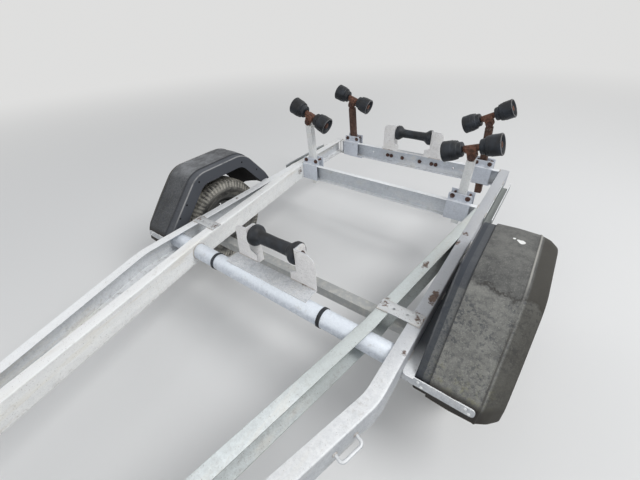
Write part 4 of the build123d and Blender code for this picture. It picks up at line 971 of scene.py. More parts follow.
def turned(name: str, profile: Sequence[Flat], place: Vector, axis: Vector, count: int = 48,
           closed: bool = True) -> bpy.types.Object:
    """Return a shape turned about an axis.

    Args:
        name: The piece's name.
        profile: Points as (along the axis, radius).
        place: The axis's origin.
        axis: The axis's direction.
        count: Segments round the axis.
        closed: Whether the profile's end joins its start.

    Returns:
        The object.
    """
    turn = Vector((1.0, 0.0, 0.0)).rotation_difference(axis).to_matrix()
    verts: list[Vector] = []
    for i in range(count):
        angle = 2 * math.pi * i / count
        for along, radius in profile:
            verts.append(place + turn @ Vector((along, radius * math.cos(angle), radius * math.sin(angle))))
    n = len(profile)
    spans = n if closed else n - 1
    faces = [(i * n + j, i * n + (j + 1) % n, ((i + 1) % count) * n + (j + 1) % n, ((i + 1) % count) * n + j)
             for i in range(count) for j in range(spans)]
    obj = new_object(name, verts, faces)
    shade(obj)
    return obj


def fused(name: str, objects: Sequence[bpy.types.Object]) -> bpy.types.Object:
    """Join objects into one mesh, keeping each one's material.

    Args:
        name: The new piece's name.
        objects: The objects, which are removed.

    Returns:
        The joined object.
    """
    verts: list[Vector] = []
    faces: list[tuple[int, ...]] = []
    marks: list[int] = []
    smooth: list[bool] = []
    materials: list[bpy.types.Material] = []
    for obj in objects:
        start = len(verts)
        verts.extend(v.co.copy() for v in obj.data.vertices)
        slots = list(obj.data.materials) or [None]
        for material in slots:
            if material not in materials:
                materials.append(material)
        for face in obj.data.polygons:
            faces.append(tuple(start + i for i in face.vertices))
            marks.append(materials.index(slots[min(face.material_index, len(slots) - 1)]))
            smooth.append(face.use_smooth)
        bpy.data.objects.remove(obj)
    mesh = bpy.data.meshes.new(name)
    mesh.from_pydata([tuple(v) for v in verts], [], faces)
    for material in materials:
        mesh.materials.append(material)
    for face, mark, soft in zip(mesh.polygons, marks, smooth):
        face.material_index = mark
        face.use_smooth = soft
    mesh.set_sharp_from_angle(angle=SHARP)
    return linked(name, mesh)


@dataclass(frozen=True)
class Corner:
    """Short edges near a place that get a larger round."""

    places: tuple[Point, ...]
    reach: float
    longest: float
    radius: float

    def holds(self, edge: Any) -> bool:
        """Return whether an edge is short enough and near one of the places.

        Args:
            edge: The mesh edge.

        Returns:
            Whether it gets the larger round.
        """
        middle = (edge.verts[0].co + edge.verts[1].co) / 2
        close = any((middle - Vector(place)).length < self.reach for place in self.places)
        return close and edge.calc_length() < self.longest


def softened(node: str, width: float, cutter: bpy.types.Object | None = None,
             corner: Corner | None = None) -> bpy.types.Object:
    """Return a copy of a CAD node whose sharp edges are rounded.

    Args:
        node: The CAD node.
        width: The rounding's width, in metres.
        cutter: A shape to cut out first, which is removed, or None.
        corner: Edges that get a larger round first, or None.

    Returns:
        The new object.
    """
    mesh = frame["nodes"][node].data.copy()
    mesh.materials.clear()
    bm = bmesh.new()
    bm.from_mesh(mesh)
    bmesh.ops.remove_doubles(bm, verts=bm.verts, dist=2e-5)
    bmesh.ops.dissolve_limit(bm, angle_limit=math.radians(0.6), verts=bm.verts[:], edges=bm.edges[:])
    if corner is not None:
        bmesh.ops.bevel(bm, geom=[e for e in bm.edges if corner.holds(e)], offset=corner.radius, segments=6,
                        profile=0.5, affect="EDGES", clamp_overlap=False)
    bm.to_mesh(mesh)
    bm.free()
    obj = linked(node + "_soft", mesh)
    if cutter is not None:
        cut = obj.modifiers.new("cut", "BOOLEAN")
        cut.operation = "DIFFERENCE"
        cut.solver = "EXACT"
        cut.object = cutter
        applied(obj)
        bpy.data.objects.remove(cutter)
    obj.data.shade_smooth()
    bevel = obj.modifiers.new("edges", "BEVEL")
    bevel.width = width
    bevel.segments = 2
    bevel.limit_method = "ANGLE"
    bevel.angle_limit = SHARP
    bevel.harden_normals = True
    bevel.use_clamp_overlap = True
    return applied(obj)


class Tree(NodeHost):
    """A geometry tree with named inputs, built in code."""

    def __init__(self, name: str, inputs: Sequence[tuple[str, str, Any]]) -> None:
        """Make the tree and its inputs.

        Args:
            name: The tree's name.
            inputs: Each input's name, socket type and value.
        """
        self.tree = bpy.data.node_groups.new(name, "GeometryNodeTree")
        face = self.tree.interface
        face.new_socket("Geometry", in_out="INPUT", socket_type="NodeSocketGeometry")
        face.new_socket("Geometry", in_out="OUTPUT", socket_type="NodeSocketGeometry")
        self.names: dict[str, str] = {}
        for label, kind, value in inputs:
            socket = face.new_socket(label, in_out="INPUT", socket_type=kind)
            if value is not None:
                socket.default_value = value
            self.names[label] = socket.identifier
        self.source = self.tree.nodes.new("NodeGroupInput")
        self.sink = self.tree.nodes.new("NodeGroupOutput")

    def given(self, label: str) -> Any:
        """Return one of the tree's inputs."""
        return self.source.outputs[label]

    def stored(self, name: str, kind: str = "FLOAT") -> Any:
        """Return a value that the points carry."""
        node = self.node("GeometryNodeInputNamedAttribute", {"data_type": kind}, {"Name": name})
        return node.outputs["Attribute"]

    def facing(self, axis: str, vector: Any) -> Any:
        """Return the rotation that turns an axis onto a vector."""
        node = self.node("FunctionNodeAlignRotationToVector", {"axis": axis}, {"Vector": vector})
        return node.outputs[0]

    def moved(self, geometry: Any, values: dict[str, Any]) -> Any:
        """Return a geometry with a Transform node's values applied."""
        return self.node("GeometryNodeTransform", {}, {"Geometry": geometry, **values}).outputs[0]

    def joined(self, parts: Sequence[Any]) -> Any:
        """Return several geometries as one.

        Args:
            parts: The geometry sockets.

        Returns:
            The joined geometry.
        """
        node = self.node("GeometryNodeJoinGeometry", {}, {})
        for part in parts:
            self.tree.links.new(part, node.inputs[0])
        return node.outputs[0]

    def on_points(self, points: Any, piece: Any, rotation: Any, more: dict[str, Any] | None = None) -> Any:
        """Return a copy of a piece on each point.

        Args:
            points: The points.
            piece: The geometry to copy.
            rotation: Each copy's rotation.
            more: Other inputs of the node, such as the scale.

        Returns:
            The copies.
        """
        values = {"Points": points, "Instance": piece, "Rotation": rotation, **(more or {})}
        return self.node("GeometryNodeInstanceOnPoints", {}, values).outputs[0]

    def close(self, geometry: Any) -> None:
        """End the tree in Realize Instances and Set Material.

        Args:
            geometry: The last geometry.
        """
        real = self.node("GeometryNodeRealizeInstances", {}, {"Geometry": geometry})
        values = {"Geometry": real.outputs[0], "Material": self.given("Material")}
        last = self.node("GeometryNodeSetMaterial", {}, values)
        self.tree.links.new(last.outputs[0], self.sink.inputs[0])

    def run(self, obj: bpy.types.Object, values: dict[str, Any]) -> bpy.types.Object:
        """Run the tree on an object and keep the result as its plain mesh.

        Args:
            obj: The object whose mesh the tree starts from.
            values: The inputs by name.

        Returns:
            The object with its new mesh.
        """
        modifier = obj.modifiers.new(self.tree.name, "NODES")
        modifier.node_group = self.tree
        for label, value in values.items():
            modifier[self.names[label]] = value
        return applied(obj)


@dataclass
class BoltRow:
    """One bolt, nut or rivet: where it sits, which way it faces and its thread."""

    place: Point
    aim: Point
    thread: float
    turn: float = 0.0


def pin_ends(place: Vector, axis: Vector, reach: float, thread: float, turn: float) -> list[BoltRow]:
    """Return the nuts at both ends of a pin.

    Args:
        place: The pin's middle.
        axis: The pin's direction.
        reach: From the middle to each nut.
        thread: The nuts' thread.
        turn: Their turn about the pin, in radians.

    Returns:
        Two rows.
    """
    return [BoltRow(tuple(place + axis * sign * reach), tuple(axis * sign), thread, turn) for sign in SIGNS]


def point_object(name: str, rows: Sequence[BoltRow]) -> bpy.types.Object:
    """Return loose points that carry the direction, the size and the turn of each row.

    Args:
        name: The object's name.
        rows: The table.

    Returns:
        The object.
    """
    mesh = bpy.data.meshes.new(name)
    mesh.from_pydata([row.place for row in rows], [], [])
    mesh.attributes.new("aim", "FLOAT_VECTOR", "POINT")
    mesh.attributes.new("size", "FLOAT", "POINT")
    mesh.attributes.new("turn", "FLOAT", "POINT")
    mesh.attributes["aim"].data.foreach_set("vector", [v for row in rows for v in row.aim])
    mesh.attributes["size"].data.foreach_set("value", [row.thread for row in rows])
    mesh.attributes["turn"].data.foreach_set("value", [row.turn for row in rows])
    return linked(name, mesh)


class BoltTree:
    """Geometry Nodes that stand a hexagon nut, its washer and the thread's end on each point."""

    def __init__(self) -> None:
        """Build the tree. Sizes in it are shares of the thread's diameter."""
        tree = Tree("hex_nuts", [("Material", "NodeSocketMaterial", None), ("Stud", "NodeSocketFloat", 1.2),
                                 ("Height", "NodeSocketFloat", 1.0)])
        washer = self._ring(tree, 28, 1.08, 1.08, 0.16, 0.0)
        skirt = self._ring(tree, 6, 0.94, 1.0, 0.08, 0.16)
        nut = self._ring(tree, 6, 1.0, 1.0, 0.58, 0.24)
        crown = self._ring(tree, 6, 1.0, 0.90, 0.08, 0.82)
        stud = self._ring(tree, 14, 0.5, 0.46, tree.given("Stud"), 0.0)
        height = tree.node("ShaderNodeCombineXYZ", {}, {"X": 1.0, "Y": 1.0, "Z": tree.given("Height")})
        pressed = tree.moved(tree.joined((crown, nut, skirt, washer)), {"Scale": height.outputs[0]})
        spin = tree.node("ShaderNodeCombineXYZ", {}, {"Z": tree.stored("turn")})
        both = tree.node("FunctionNodeRotateRotation", {"rotation_space": "LOCAL"}, {
            "Rotation": tree.facing("Z", tree.stored("aim", "FLOAT_VECTOR")), "Rotate By": spin.outputs[0]})
        tree.close(tree.on_points(tree.given("Geometry"), tree.joined((stud, pressed)), both.outputs[0],
                                  {"Scale": tree.stored("size")}))
        self.tree = tree

    @staticmethod
    def _ring(tree: Tree, sides: int, low: float, high: float, depth: Any, base: float) -> Any:
        """Return a short prism or cone that stands on a height.

        Args:
            tree: The tree.
            sides: How many sides it has.
            low: Its radius at the bottom.
            high: Its radius at the top.
            depth: Its height.
            base: The height of its bottom.

        Returns:
            The geometry socket.
        """
        cone = tree.node("GeometryNodeMeshCone", {"fill_type": "NGON"}, {
            "Vertices": sides, "Radius Bottom": low, "Radius Top": high, "Depth": depth})
        return tree.moved(cone.outputs["Mesh"], {"Translation": (0.0, 0.0, base)})

    def build(self, name: str, rows: Sequence[BoltRow], material: bpy.types.Material, stud: float = 1.2,
              height: float = 1.0) -> bpy.types.Object:
        """Return the nuts or heads of a table as one mesh.

        Args:
            name: The piece's name.
            rows: The table.
            material: Their finish.
            stud: How far the thread's end stands, as a share of its diameter.
            height: The nut's height, as a share of a plain nut's.

        Returns:
            The object.
        """
        obj = point_object(name, rows)
        self.tree.run(obj, {"Material": material, "Stud": stud, "Height": height})
        shade(obj, math.radians(30.0))
        return obj


class RivetTree:
    """Geometry Nodes that set a domed rivet head on each point."""

    def __init__(self) -> None:
        """Build the tree. Sizes in it are shares of the head's radius."""
        tree = Tree("rivet_heads", [
            ("Material", "NodeSocketMaterial", None), ("Dome", "NodeSocketFloat", 0.45)])
        ball = tree.node("GeometryNodeMeshUVSphere", {}, {"Segments": 16, "Rings": 8, "Radius": 1.0})
        flat = tree.node("ShaderNodeCombineXYZ", {}, {"X": 1.0, "Y": 1.0, "Z": tree.given("Dome")})
        head = tree.moved(ball.outputs["Mesh"], {"Scale": flat.outputs[0]})
        facing = tree.facing("Z", tree.stored("aim", "FLOAT_VECTOR"))
        tree.close(tree.on_points(tree.given("Geometry"), head, facing, {"Scale": tree.stored("size")}))
        self.tree = tree

    def build(self, name: str, rows: Sequence[BoltRow], material: bpy.types.Material) -> bpy.types.Object:
        """Return the rivet heads of a table as one mesh.

        Args:
            name: The piece's name.
            rows: The table, whose threads are the heads' radii.
            material: Their finish.

        Returns:
            The object.
        """
        obj = self.tree.run(point_object(name, rows), {"Material": material})
        obj.data.shade_smooth()
        return obj


class WeldTree:
    """Geometry Nodes that lay the overlapping ripples of a weld along each line."""

    def __init__(self) -> None:
        """Build the tree."""
        tree = Tree("weld_ripples", [
            ("Material", "NodeSocketMaterial", None), ("Width", "NodeSocketFloat", 0.0032),
            ("Pitch", "NodeSocketFloat", 0.0034), ("Seed", "NodeSocketInt", 7)])
        lines = tree.node("GeometryNodeMeshToCurve", {}, {"Mesh": tree.given("Geometry")})
        even = tree.node("GeometryNodeResampleCurve", {"mode": "LENGTH"}, {
            "Curve": lines.outputs[0], "Length": tree.given("Pitch")})
        drop = tree.node("GeometryNodeMeshUVSphere", {}, {"Radius": 1.0, "Segments": 8, "Rings": 5})
        tangent = tree.node("GeometryNodeInputTangent", {}, {})
        chance = tree.node("FunctionNodeRandomValue", {"data_type": "FLOAT"}, {
            2: 0.82, 3: 1.22, "Seed": tree.given("Seed")})
        size = tree.node("ShaderNodeMath", {"operation": "MULTIPLY"}, {
            0: tree.given("Width"), 1: chance.outputs[1]})
        tree.close(tree.on_points(even.outputs[0], drop.outputs[0], tree.facing("X", tangent.outputs[0]),
                                  {"Scale": size.outputs[0]}))
        self.tree = tree

    def build(self, name: str, lines: Sequence[Sequence[Vector]], material: bpy.types.Material,
              width: float = 0.0032, pitch: float = 0.0034) -> bpy.types.Object:
        """Return the welds along several lines as one mesh.

        Args:
            name: The piece's name.
            lines: The points of each line.
            material: Their finish.
            width: Half the bead's width.
            pitch: From one ripple to the next.

        Returns:
            The object.
        """
        verts: list[Vector] = []
        edges: list[tuple[int, int]] = []
        for line in lines:
            start = len(verts)
            verts.extend(line)
            edges.extend((start + i, start + i + 1) for i in range(len(line) - 1))
        mesh = bpy.data.meshes.new(name)
        mesh.from_pydata([tuple(v) for v in verts], edges, [])
        obj = self.tree.run(linked(name, mesh), {"Material": material, "Width": width, "Pitch": pitch})
        obj.data.shade_smooth()
        return obj


def blocks(name: str, rows: Sequence[tuple[Point, Point]]) -> bpy.types.Object:
    """Return plain boxes as one cutter.

    Args:
        name: The cutter's name.
        rows: Each box's lowest and highest corners.

    Returns:
        The object.
    """
    verts: list[Point] = []
    faces: list[Quad] = []
    for low, high in rows:
        n = len(verts)
        verts += [(x, y, z) for x in (low[0], high[0]) for y in (low[1], high[1]) for z in (low[2], high[2])]
        faces += [(n, n + 1, n + 3, n + 2), (n + 4, n + 6, n + 7, n + 5), (n, n + 4, n + 5, n + 1),
                  (n + 2, n + 3, n + 7, n + 6), (n, n + 2, n + 6, n + 4), (n + 1, n + 5, n + 7, n + 3)]
    return new_object(name, verts, faces)


@dataclass
class Ironwork:
    """The rigid CAD nodes whose form is right: each is kept with its edges rounded."""

    finishes: Finishes
    wide: float = 0.0030
    narrow: float = 0.0012
    ear_half: float = 0.075
    ear_ahead: float = 0.020
    plates_back: float = 0.0725
    ear_z: Flat = (0.28, 0.3328)
    foot: tuple[Point, Point] = ((-0.60, 1.90, 0.20), (-0.40, 2.10, 0.325))
    shank_y: float = 0.0222
    shank_z: float = 0.44
    shank_x: float = 0.040
    shank_radius: float = 0.009
    rear_posts_from: float = 1.9
    strap_end: Corner = Corner(((0.862, 0.447, 0.345), (0.862, 0.453, 0.375), (-0.862, 0.447, 0.345),
                                (-0.862, 0.453, 0.375), (0.6353, 0.445, 0.373), (-0.6353, 0.445, 0.373)),
                               0.006, 0.0065, 0.012)

    def build(self) -> None:
        """Round and dress every row of the table of nodes."""
        f = self.finishes
        table: list[tuple[str, float, bpy.types.Material, Slot]] = [
            ("outer_rail_right", self.wide, f.outer_right, Slot.ZINC),
            ("outer_rail_left", self.wide, f.outer_left, Slot.ZINC),
            ("inner_rail_right", self.wide, f.shaded_inner_right, Slot.ZINC),
            ("inner_rail_left", self.wide, f.sunlit_inner_left, Slot.ZINC),
            ("cross_member_front", self.wide, f.cross_zinc, Slot.ZINC),
            ("cross_member_rear", self.wide, f.rear_zinc, Slot.ZINC),
            ("cross_tube", self.narrow, f.tube_zinc, Slot.ZINC),
            ("rail_ties", self.narrow, f.tie_zinc, Slot.ZINC),
            ("axle_beam", self.wide, f.dull_steel, Slot.STEEL),
            ("axle_saddles", self.narrow, f.zinc, Slot.ZINC),
            ("axle_arms", self.narrow, f.dull_steel, Slot.STEEL),
            ("post_clamps", self.narrow, f.clamp_zinc, Slot.ZINC),
            ("roller_posts", self.narrow, f.bright_zinc, Slot.ZINC),
            ("keel_bracket_front keel_bracket_rear", self.narrow, f.front_lit_bracket_zinc, Slot.ZINC),
            ("light_sleeves", self.narrow, f.sleeve_zinc, Slot.ZINC),
            ("lashing_loops", self.narrow, f.zinc, Slot.ZINC),
            ("guard_irons", self.narrow, f.iron_zinc, Slot.ZINC),
            ("nose_beam", self.wide, f.zinc, Slot.ZINC),
            ("head_plates", self.narrow, f.clamp_zinc, Slot.ZINC),
            ("winch_post", self.narrow, f.zinc, Slot.ZINC),
            ("winch_frame winch_drum", self.narrow, f.bright_zinc, Slot.PLATED),
            ("coupling_head", self.wide, f.bright_zinc, Slot.COUPLING),
            ("coupling_handle", self.wide, f.dull_steel, Slot.COUPLING),
            ("jockey_clamp", self.narrow, f.zinc, Slot.ZINC),
            ("jockey_tube", self.narrow, f.tube_zinc, Slot.ZINC),
            ("jockey_crank jockey_leg", self.narrow, f.bright_zinc, Slot.PLATED),
            ("jockey_fork jockey_rim", self.narrow, f.paint, Slot.PAINT),
            ("rim_right rim_left", self.narrow, f.rim_paint, Slot.PAINT),
            ("hub_right hub_left", self.narrow, f.dull_steel, Slot.STEEL),
            ("rocker_front_right rocker_front_left rocker_rear_right rocker_rear_left",
             self.narrow, f.rusty_iron, Slot.IRON),
            ("tube_bands jockey_tyre crank_grip", self.narrow, f.rubber, Slot.RUBBER),
        ]
        rows = [(node, *rest) for names, *rest in table for node in names.split()]
        for node, width, material, slot in rows:
            corner = self.strap_end if node == "guard_irons" else None
            piece = softened(node, width, self.cutter(node), corner)
            dressed(piece, body_of_node(node), material, [node])
            if node == "roller_posts":
                self.rust_rear_posts(piece)
            elif node == "post_clamps":
                self.rust_clamp_bolts(piece)
        log.info("%d rigid pieces with rounded edges", len(rows))

    def cutter(self, node: str) -> bpy.types.Object | None:
        """Return what is cut off a node: the clamps' lower ears and one post's foot.

        Args:
            node: The CAD node.

        Returns:
            The cutter, or None where the node stays whole.
        """
        low, high = self.ear_z
        if node == "post_clamps":
            return blocks("ears", [((x - self.ear_half, CROSS_LIPS[i] - self.ear_ahead, low),
                                    (x + self.ear_half, CROSS_LIPS[i] + self.plates_back, high))
                                   for x, i in CLAMPS])
        if node == "roller_posts":
            return blocks("foot", [self.foot])
        return None

    def rust_clamp_bolts(self, clamps: bpy.types.Object) -> None:
        """Give the bolts' shanks between the clamps' plates their rusty finish.

        Args:
            clamps: The piece of the clamps.
        """
        clamps.data.materials.append(self.finishes.rusty_bolt)
        for face in clamps.data.polygons:
            c = face.center
            for x, i in CLAMPS:
                between = self.shank_y < c.y - CROSS_LIPS[i] < self.plates_back
                close = abs(abs(c.x - x) - self.shank_x) < self.shank_radius
                if between and close and c.z > self.shank_z:
                    face.material_index = 1

    def rust_rear_posts(self, posts: bpy.types.Object) -> None:
        """Give the two rear posts, whose zinc has gone, their rusty finish.

        Args:
            posts: The piece of the posts.
        """
        posts.data.materials.append(self.finishes.rusty_post)
        for face in posts.data.polygons:
            if face.center.y > self.rear_posts_from:
                face.material_index = 1


@dataclass
class Fixings:
    """Bolts, nuts and rivets of the frame, the rollers, the head plates, the coupling, the axle's saddles and the
    mudguards.
    """

    finishes: Finishes
    bolts: BoltTree
    rivets: RivetTree
    bolt_x: float = 0.040
    bolt_z: tuple[float, float] = (0.4633, 0.3107)
    head_back: float = 0.0177
    nut_back: float = 0.0769
    web_y: tuple[float, float] = (2.0049, 2.0091)
    m12: float = 0.0125
    keel_reach: float = 0.135
    bow_reach: float = 0.068
    pivot_reach: float = 0.026
    rod_reach: float = 0.1245
    head_plate_bolts: tuple[Flat, ...] = ((0.048, -1.67), (0.077, -1.57), (0.105, -1.47))
    coupling_bolts_y: Flat = (-1.935, -1.815)
    saddle_bolts: tuple[Flat, ...] = ((0.6657, -1.0), (0.7283, 1.0))
    strap_rivets: tuple[Flat, ...] = ((0.690, 0.366), (0.703, 0.352), (0.834, 0.366), (0.847, 0.353))
    strap_slope: float = 0.1912
    iron_rivets_y: Point = (0.60, 0.84, 1.08)

    def clamp_rows(self) -> tuple[list[BoltRow], list[BoltRow]]:
        """Return the bolts of the four post clamps and those through the rearmost web.

        Returns:
            The heads and the nuts.
        """
        ahead, back = (0.0, -1.0, 0.0), (0.0, 1.0, 0.0)
        heads: list[BoltRow] = []
        nuts: list[BoltRow] = []
        for i, (x, member) in enumerate(CLAMPS):
            lips = CROSS_LIPS[member]
            for j, (dx, z) in enumerate((dx, z) for dx in (-self.bolt_x, self.bolt_x) for z in self.bolt_z):
                turn = 0.7 * i + 1.3 * j
                if z > self.bolt_z[1]:
                    heads.append(BoltRow((x + dx, lips + self.head_back, z), ahead, self.m12, turn))
                nuts.append(BoltRow((x + dx, lips + self.nut_back, z), back, self.m12, turn * 1.7))
        for j, x in enumerate(WEB_BOLTS_X):
            heads.append(BoltRow((x, self.web_y[0], WEB_BOLTS_Z), ahead, self.m12, 0.9 * j))
            nuts.append(BoltRow((x, self.web_y[1], WEB_BOLTS_Z), back, self.m12, 0.5 * j))
        return heads, nuts

    def keel_rows(self) -> list[BoltRow]:
        """Return the nuts at the ends of the two keel roller pins.

        Returns:
            The rows.
        """
        rows: list[BoltRow] = []
        for end in ("front", "rear"):
            place, _ = joint_line(f"keel_roller_{end}_spin")
            rows += pin_ends(Vector((0.0, place.y, place.z)), ACROSS, self.keel_reach, 0.0175, 0.4)
        return rows

    def nose_rows(self) -> list[BoltRow]:
        """Return the bolts of the head plates, the coupling, the bow roller's pin and the axle's saddles.

        Returns:
            The rows.
        """
        up = (0.0, 0.0, 1.0)
        rows = [BoltRow((sign * x, y, 0.442), up, self.m12, x * 40)
                for sign in SIGNS for x, y in self.head_plate_bolts]
        rows += [BoltRow((sign * 0.034, y, 0.440), up, self.m12, y)
                 for sign in SIGNS for y in self.coupling_bolts_y]
        bow, _ = joint_line("bow_roller_spin")
        rows += pin_ends(Vector((0.0, bow.y, bow.z)), ACROSS, self.bow_reach, 0.0130, 0.2)
        rows += [BoltRow((sign * 0.605, y, 0.269), (0.0, aim, 0.0), self.m12, 0.9)
                 for sign in SIGNS for y, aim in self.saddle_bolts]
        return rows

    def rivet_rows(self) -> list[BoltRow]:
        """Return the rivets of both mudguards' straps and irons.

        Returns:
            The rows.
        """
        lean = tuple(Vector((0.0, -1.0, 0.19)).normalized())
        rows = []
        for sign in SIGNS:
            for x, z in self.strap_rivets:
                y = WHEEL_Y - 0.415 + (z - 0.319) * self.strap_slope - 0.0043
                rows.append(BoltRow((sign * x, y, z), lean, 0.0052))
            rows += [BoltRow((sign * 0.6728, y, 0.352), (sign * -1.0, 0.0, 0.0), 0.0050)
                     for y in self.iron_rivets_y]
        return rows

    def fasten(self, name: str, rows: Sequence[BoltRow], stud: float, height: float = 1.0,
               body: str = "frame") -> None:
        """Make a table of rusty bolts or nuts as one piece on one body.

        Args:
            name: The piece's name.
            rows: The table.
            stud: How far the thread's end stands, as a share of its diameter.
            height: The nut's height, as a share of a plain nut's.
            body: The CAD body that they ride on.
        """
        dressed(self.bolts.build(name, rows, self.finishes.rusty_bolt, stud, height), body, None)

    def build(self) -> None:
        """Make every table of fixings."""
        heads, nuts = self.clamp_rows()
        self.fasten("clamp_bolt_heads", heads, 0.1, 0.72)
        self.fasten("clamp_nuts", nuts, 1.3)
        self.fasten("keel_pin_nuts", self.keel_rows(), 0.1, 0.6)
        self.fasten("nose_bolts", self.nose_rows(), 0.9, 0.5)
        rivets = self.rivets.build("guard_rivets", self.rivet_rows(), self.finishes.bright_zinc)
        dressed(rivets, "frame", None)
        pivots: list[BoltRow] = []
        for corner in CORNERS:
            pivots += pin_ends(*joint_line(f"rocker_{corner}_tilt"), self.pivot_reach, 0.0152, 0.6)
            ends = pin_ends(*joint_line(f"hull_rollers_{corner}_spin"), self.rod_reach, 0.0165, 0.3)
            self.fasten(f"rod_nuts_{corner}", ends, 0.65, 0.62, body_of_node(f"rocker_{corner}"))
        self.fasten("pivot_bolts", pivots, 0.1, 0.62)
        log.info("bolts, nuts and rivets")


@dataclass
class Welds:
    """Rippled weld beads where the frame's pieces meet."""

    finishes: Finishes
    ripples: WeldTree
    tube: Point = (0.445, 0.478, 0.387)
    tube_radius: float = 0.0392
    slant: float = 0.187
    loop_y: float = 0.128
    loop_span: float = 0.076
    loop_bead: float = 0.0058
    bend: float = 0.2867
    bend_y: float = 0.289
    post_foot: Point = (0.0305, -1.11, 0.4434)
    # One straight bead to a row, on the right side: its start and its end.
    beads: tuple[tuple[float, ...], ...] = (
        (0.627, 0.592, 0.439, 0.627, 0.643, 0.439), (0.59, 0.591, 0.4385, 0.626, 0.591, 0.4385),
        (0.59, 0.644, 0.4385, 0.626, 0.644, 0.4385), (0.466, 0.591, 0.4385, 0.506, 0.591, 0.4385),
        (0.468, 0.644, 0.4385, 0.508, 0.644, 0.4385), (0.5848, 1.477, 0.4375, 0.5848, 1.506, 0.4375),
        (0.5848, 1.979, 0.4375, 0.5848, 2.008, 0.4375), (0.5848, 1.508, 0.343, 0.5848, 1.508, 0.431),
        (0.5848, 2.01, 0.343, 0.5848, 2.01, 0.431), (0.5848, 1.4745, 0.339, 0.5848, 1.4745, 0.435),
        (0.5848, 1.9765, 0.339, 0.5848, 1.9765, 0.435), (0.6358, 1.41, 0.4335, 0.6358, 1.455, 0.4335),
        (0.6358, 1.61, 0.4335, 0.6358, 1.655, 0.4335), (0.6358, 1.812, 0.4335, 0.6358, 1.857, 0.4335),
        (0.6358, 0.5, 0.3752, 0.6358, 0.54, 0.3752), (0.6358, 0.82, 0.3752, 0.6358, 0.86, 0.3752),
        (0.6358, 1.12, 0.3752, 0.6358, 1.16, 0.3752), (0.6358, 1.04, 0.4172, 0.6358, 1.19, 0.4172),
        (0.134, 0.5435, 0.4308, 0.214, 0.5435, 0.4308), (0.096, 0.5435, 0.4308, 0.128, 0.5435, 0.4308),
        (0.134, 1.9785, 0.4375, 0.212, 1.9785, 0.4375), (0.136, 0.549, 0.4306, 0.136, 0.56, 0.4306),
        (0.6524, 0.672, 0.2945, 0.6524, 0.722, 0.2945), (0.6524, 0.6715, 0.244, 0.6524, 0.6715, 0.294),
        (0.6524, 0.7225, 0.244, 0.6524, 0.7225, 0.294),
    )

    def rings(self) -> list[list[Vector]]:
        """Return the beads round the cross tube where it passes the inner rails' webs.

        Returns:
            The lines.
        """
        lines = []
        for sign in SIGNS:
            ring = []
            for i in range(49):
                a = 2 * math.pi * i / 48
                y = self.tube[1] + self.tube_radius * math.cos(a)
                x = self.tube[0] + (y - self.tube[1]) * self.slant - 0.0006
                ring.append(Vector((sign * x, y, self.tube[2] + self.tube_radius * math.sin(a))))
            lines.append(ring)
        return lines

    def straights(self) -> list[list[Vector]]:
        """Return the straight beads on both sides and those round the winch post's foot.

        Returns:
            The lines.
        """
        lines = [[Vector((sign * row[0], *row[1:3])), Vector((sign * row[3], *row[4:]))]
                 for row in self.beads for sign in SIGNS]
        half, y, z = self.post_foot
        lines.append([Vector((across * half, y + along * half, z))
                      for across, along in ((-1, -1), (1, -1), (1, 1), (-1, 1), (-1, -1))])
        return lines

    def loop_feet(self) -> list[list[Vector]]:
        """Return the beads round the feet of the lashing loops.

        Returns:
            The lines.
        """
        lines = []
        angle = math.atan(self.bend)
        along = Vector((math.sin(angle), math.cos(angle), 0.0))
        start = Vector((RAIL_HALF - (self.bend_y - self.loop_y) * self.bend, self.loop_y, 0.387))
        out = Vector((along.y, -along.x, 0.0)) * 0.0008
        for sign in SIGNS:
            for run in (0.0, self.loop_span):
                centre = start + along * run + out
                ring = [centre + along * self.loop_bead * math.cos(a)
                        + Vector((0, 0, self.loop_bead * math.sin(a)))
                        for a in (2 * math.pi * i / 16 for i in range(17))]
                lines.append([Vector((sign * p.x, p.y, p.z)) for p in ring])
        return lines

    def build(self) -> None:
        """Lay every bead as one piece."""
        lines = self.rings() + self.straights() + self.loop_feet()
        piece = self.ripples.build("weld_beads", lines, self.finishes.weld, 0.0030, 0.0026)
        dressed(piece, "frame", None)
        log.info("welds: %d faces", len(piece.data.polygons))


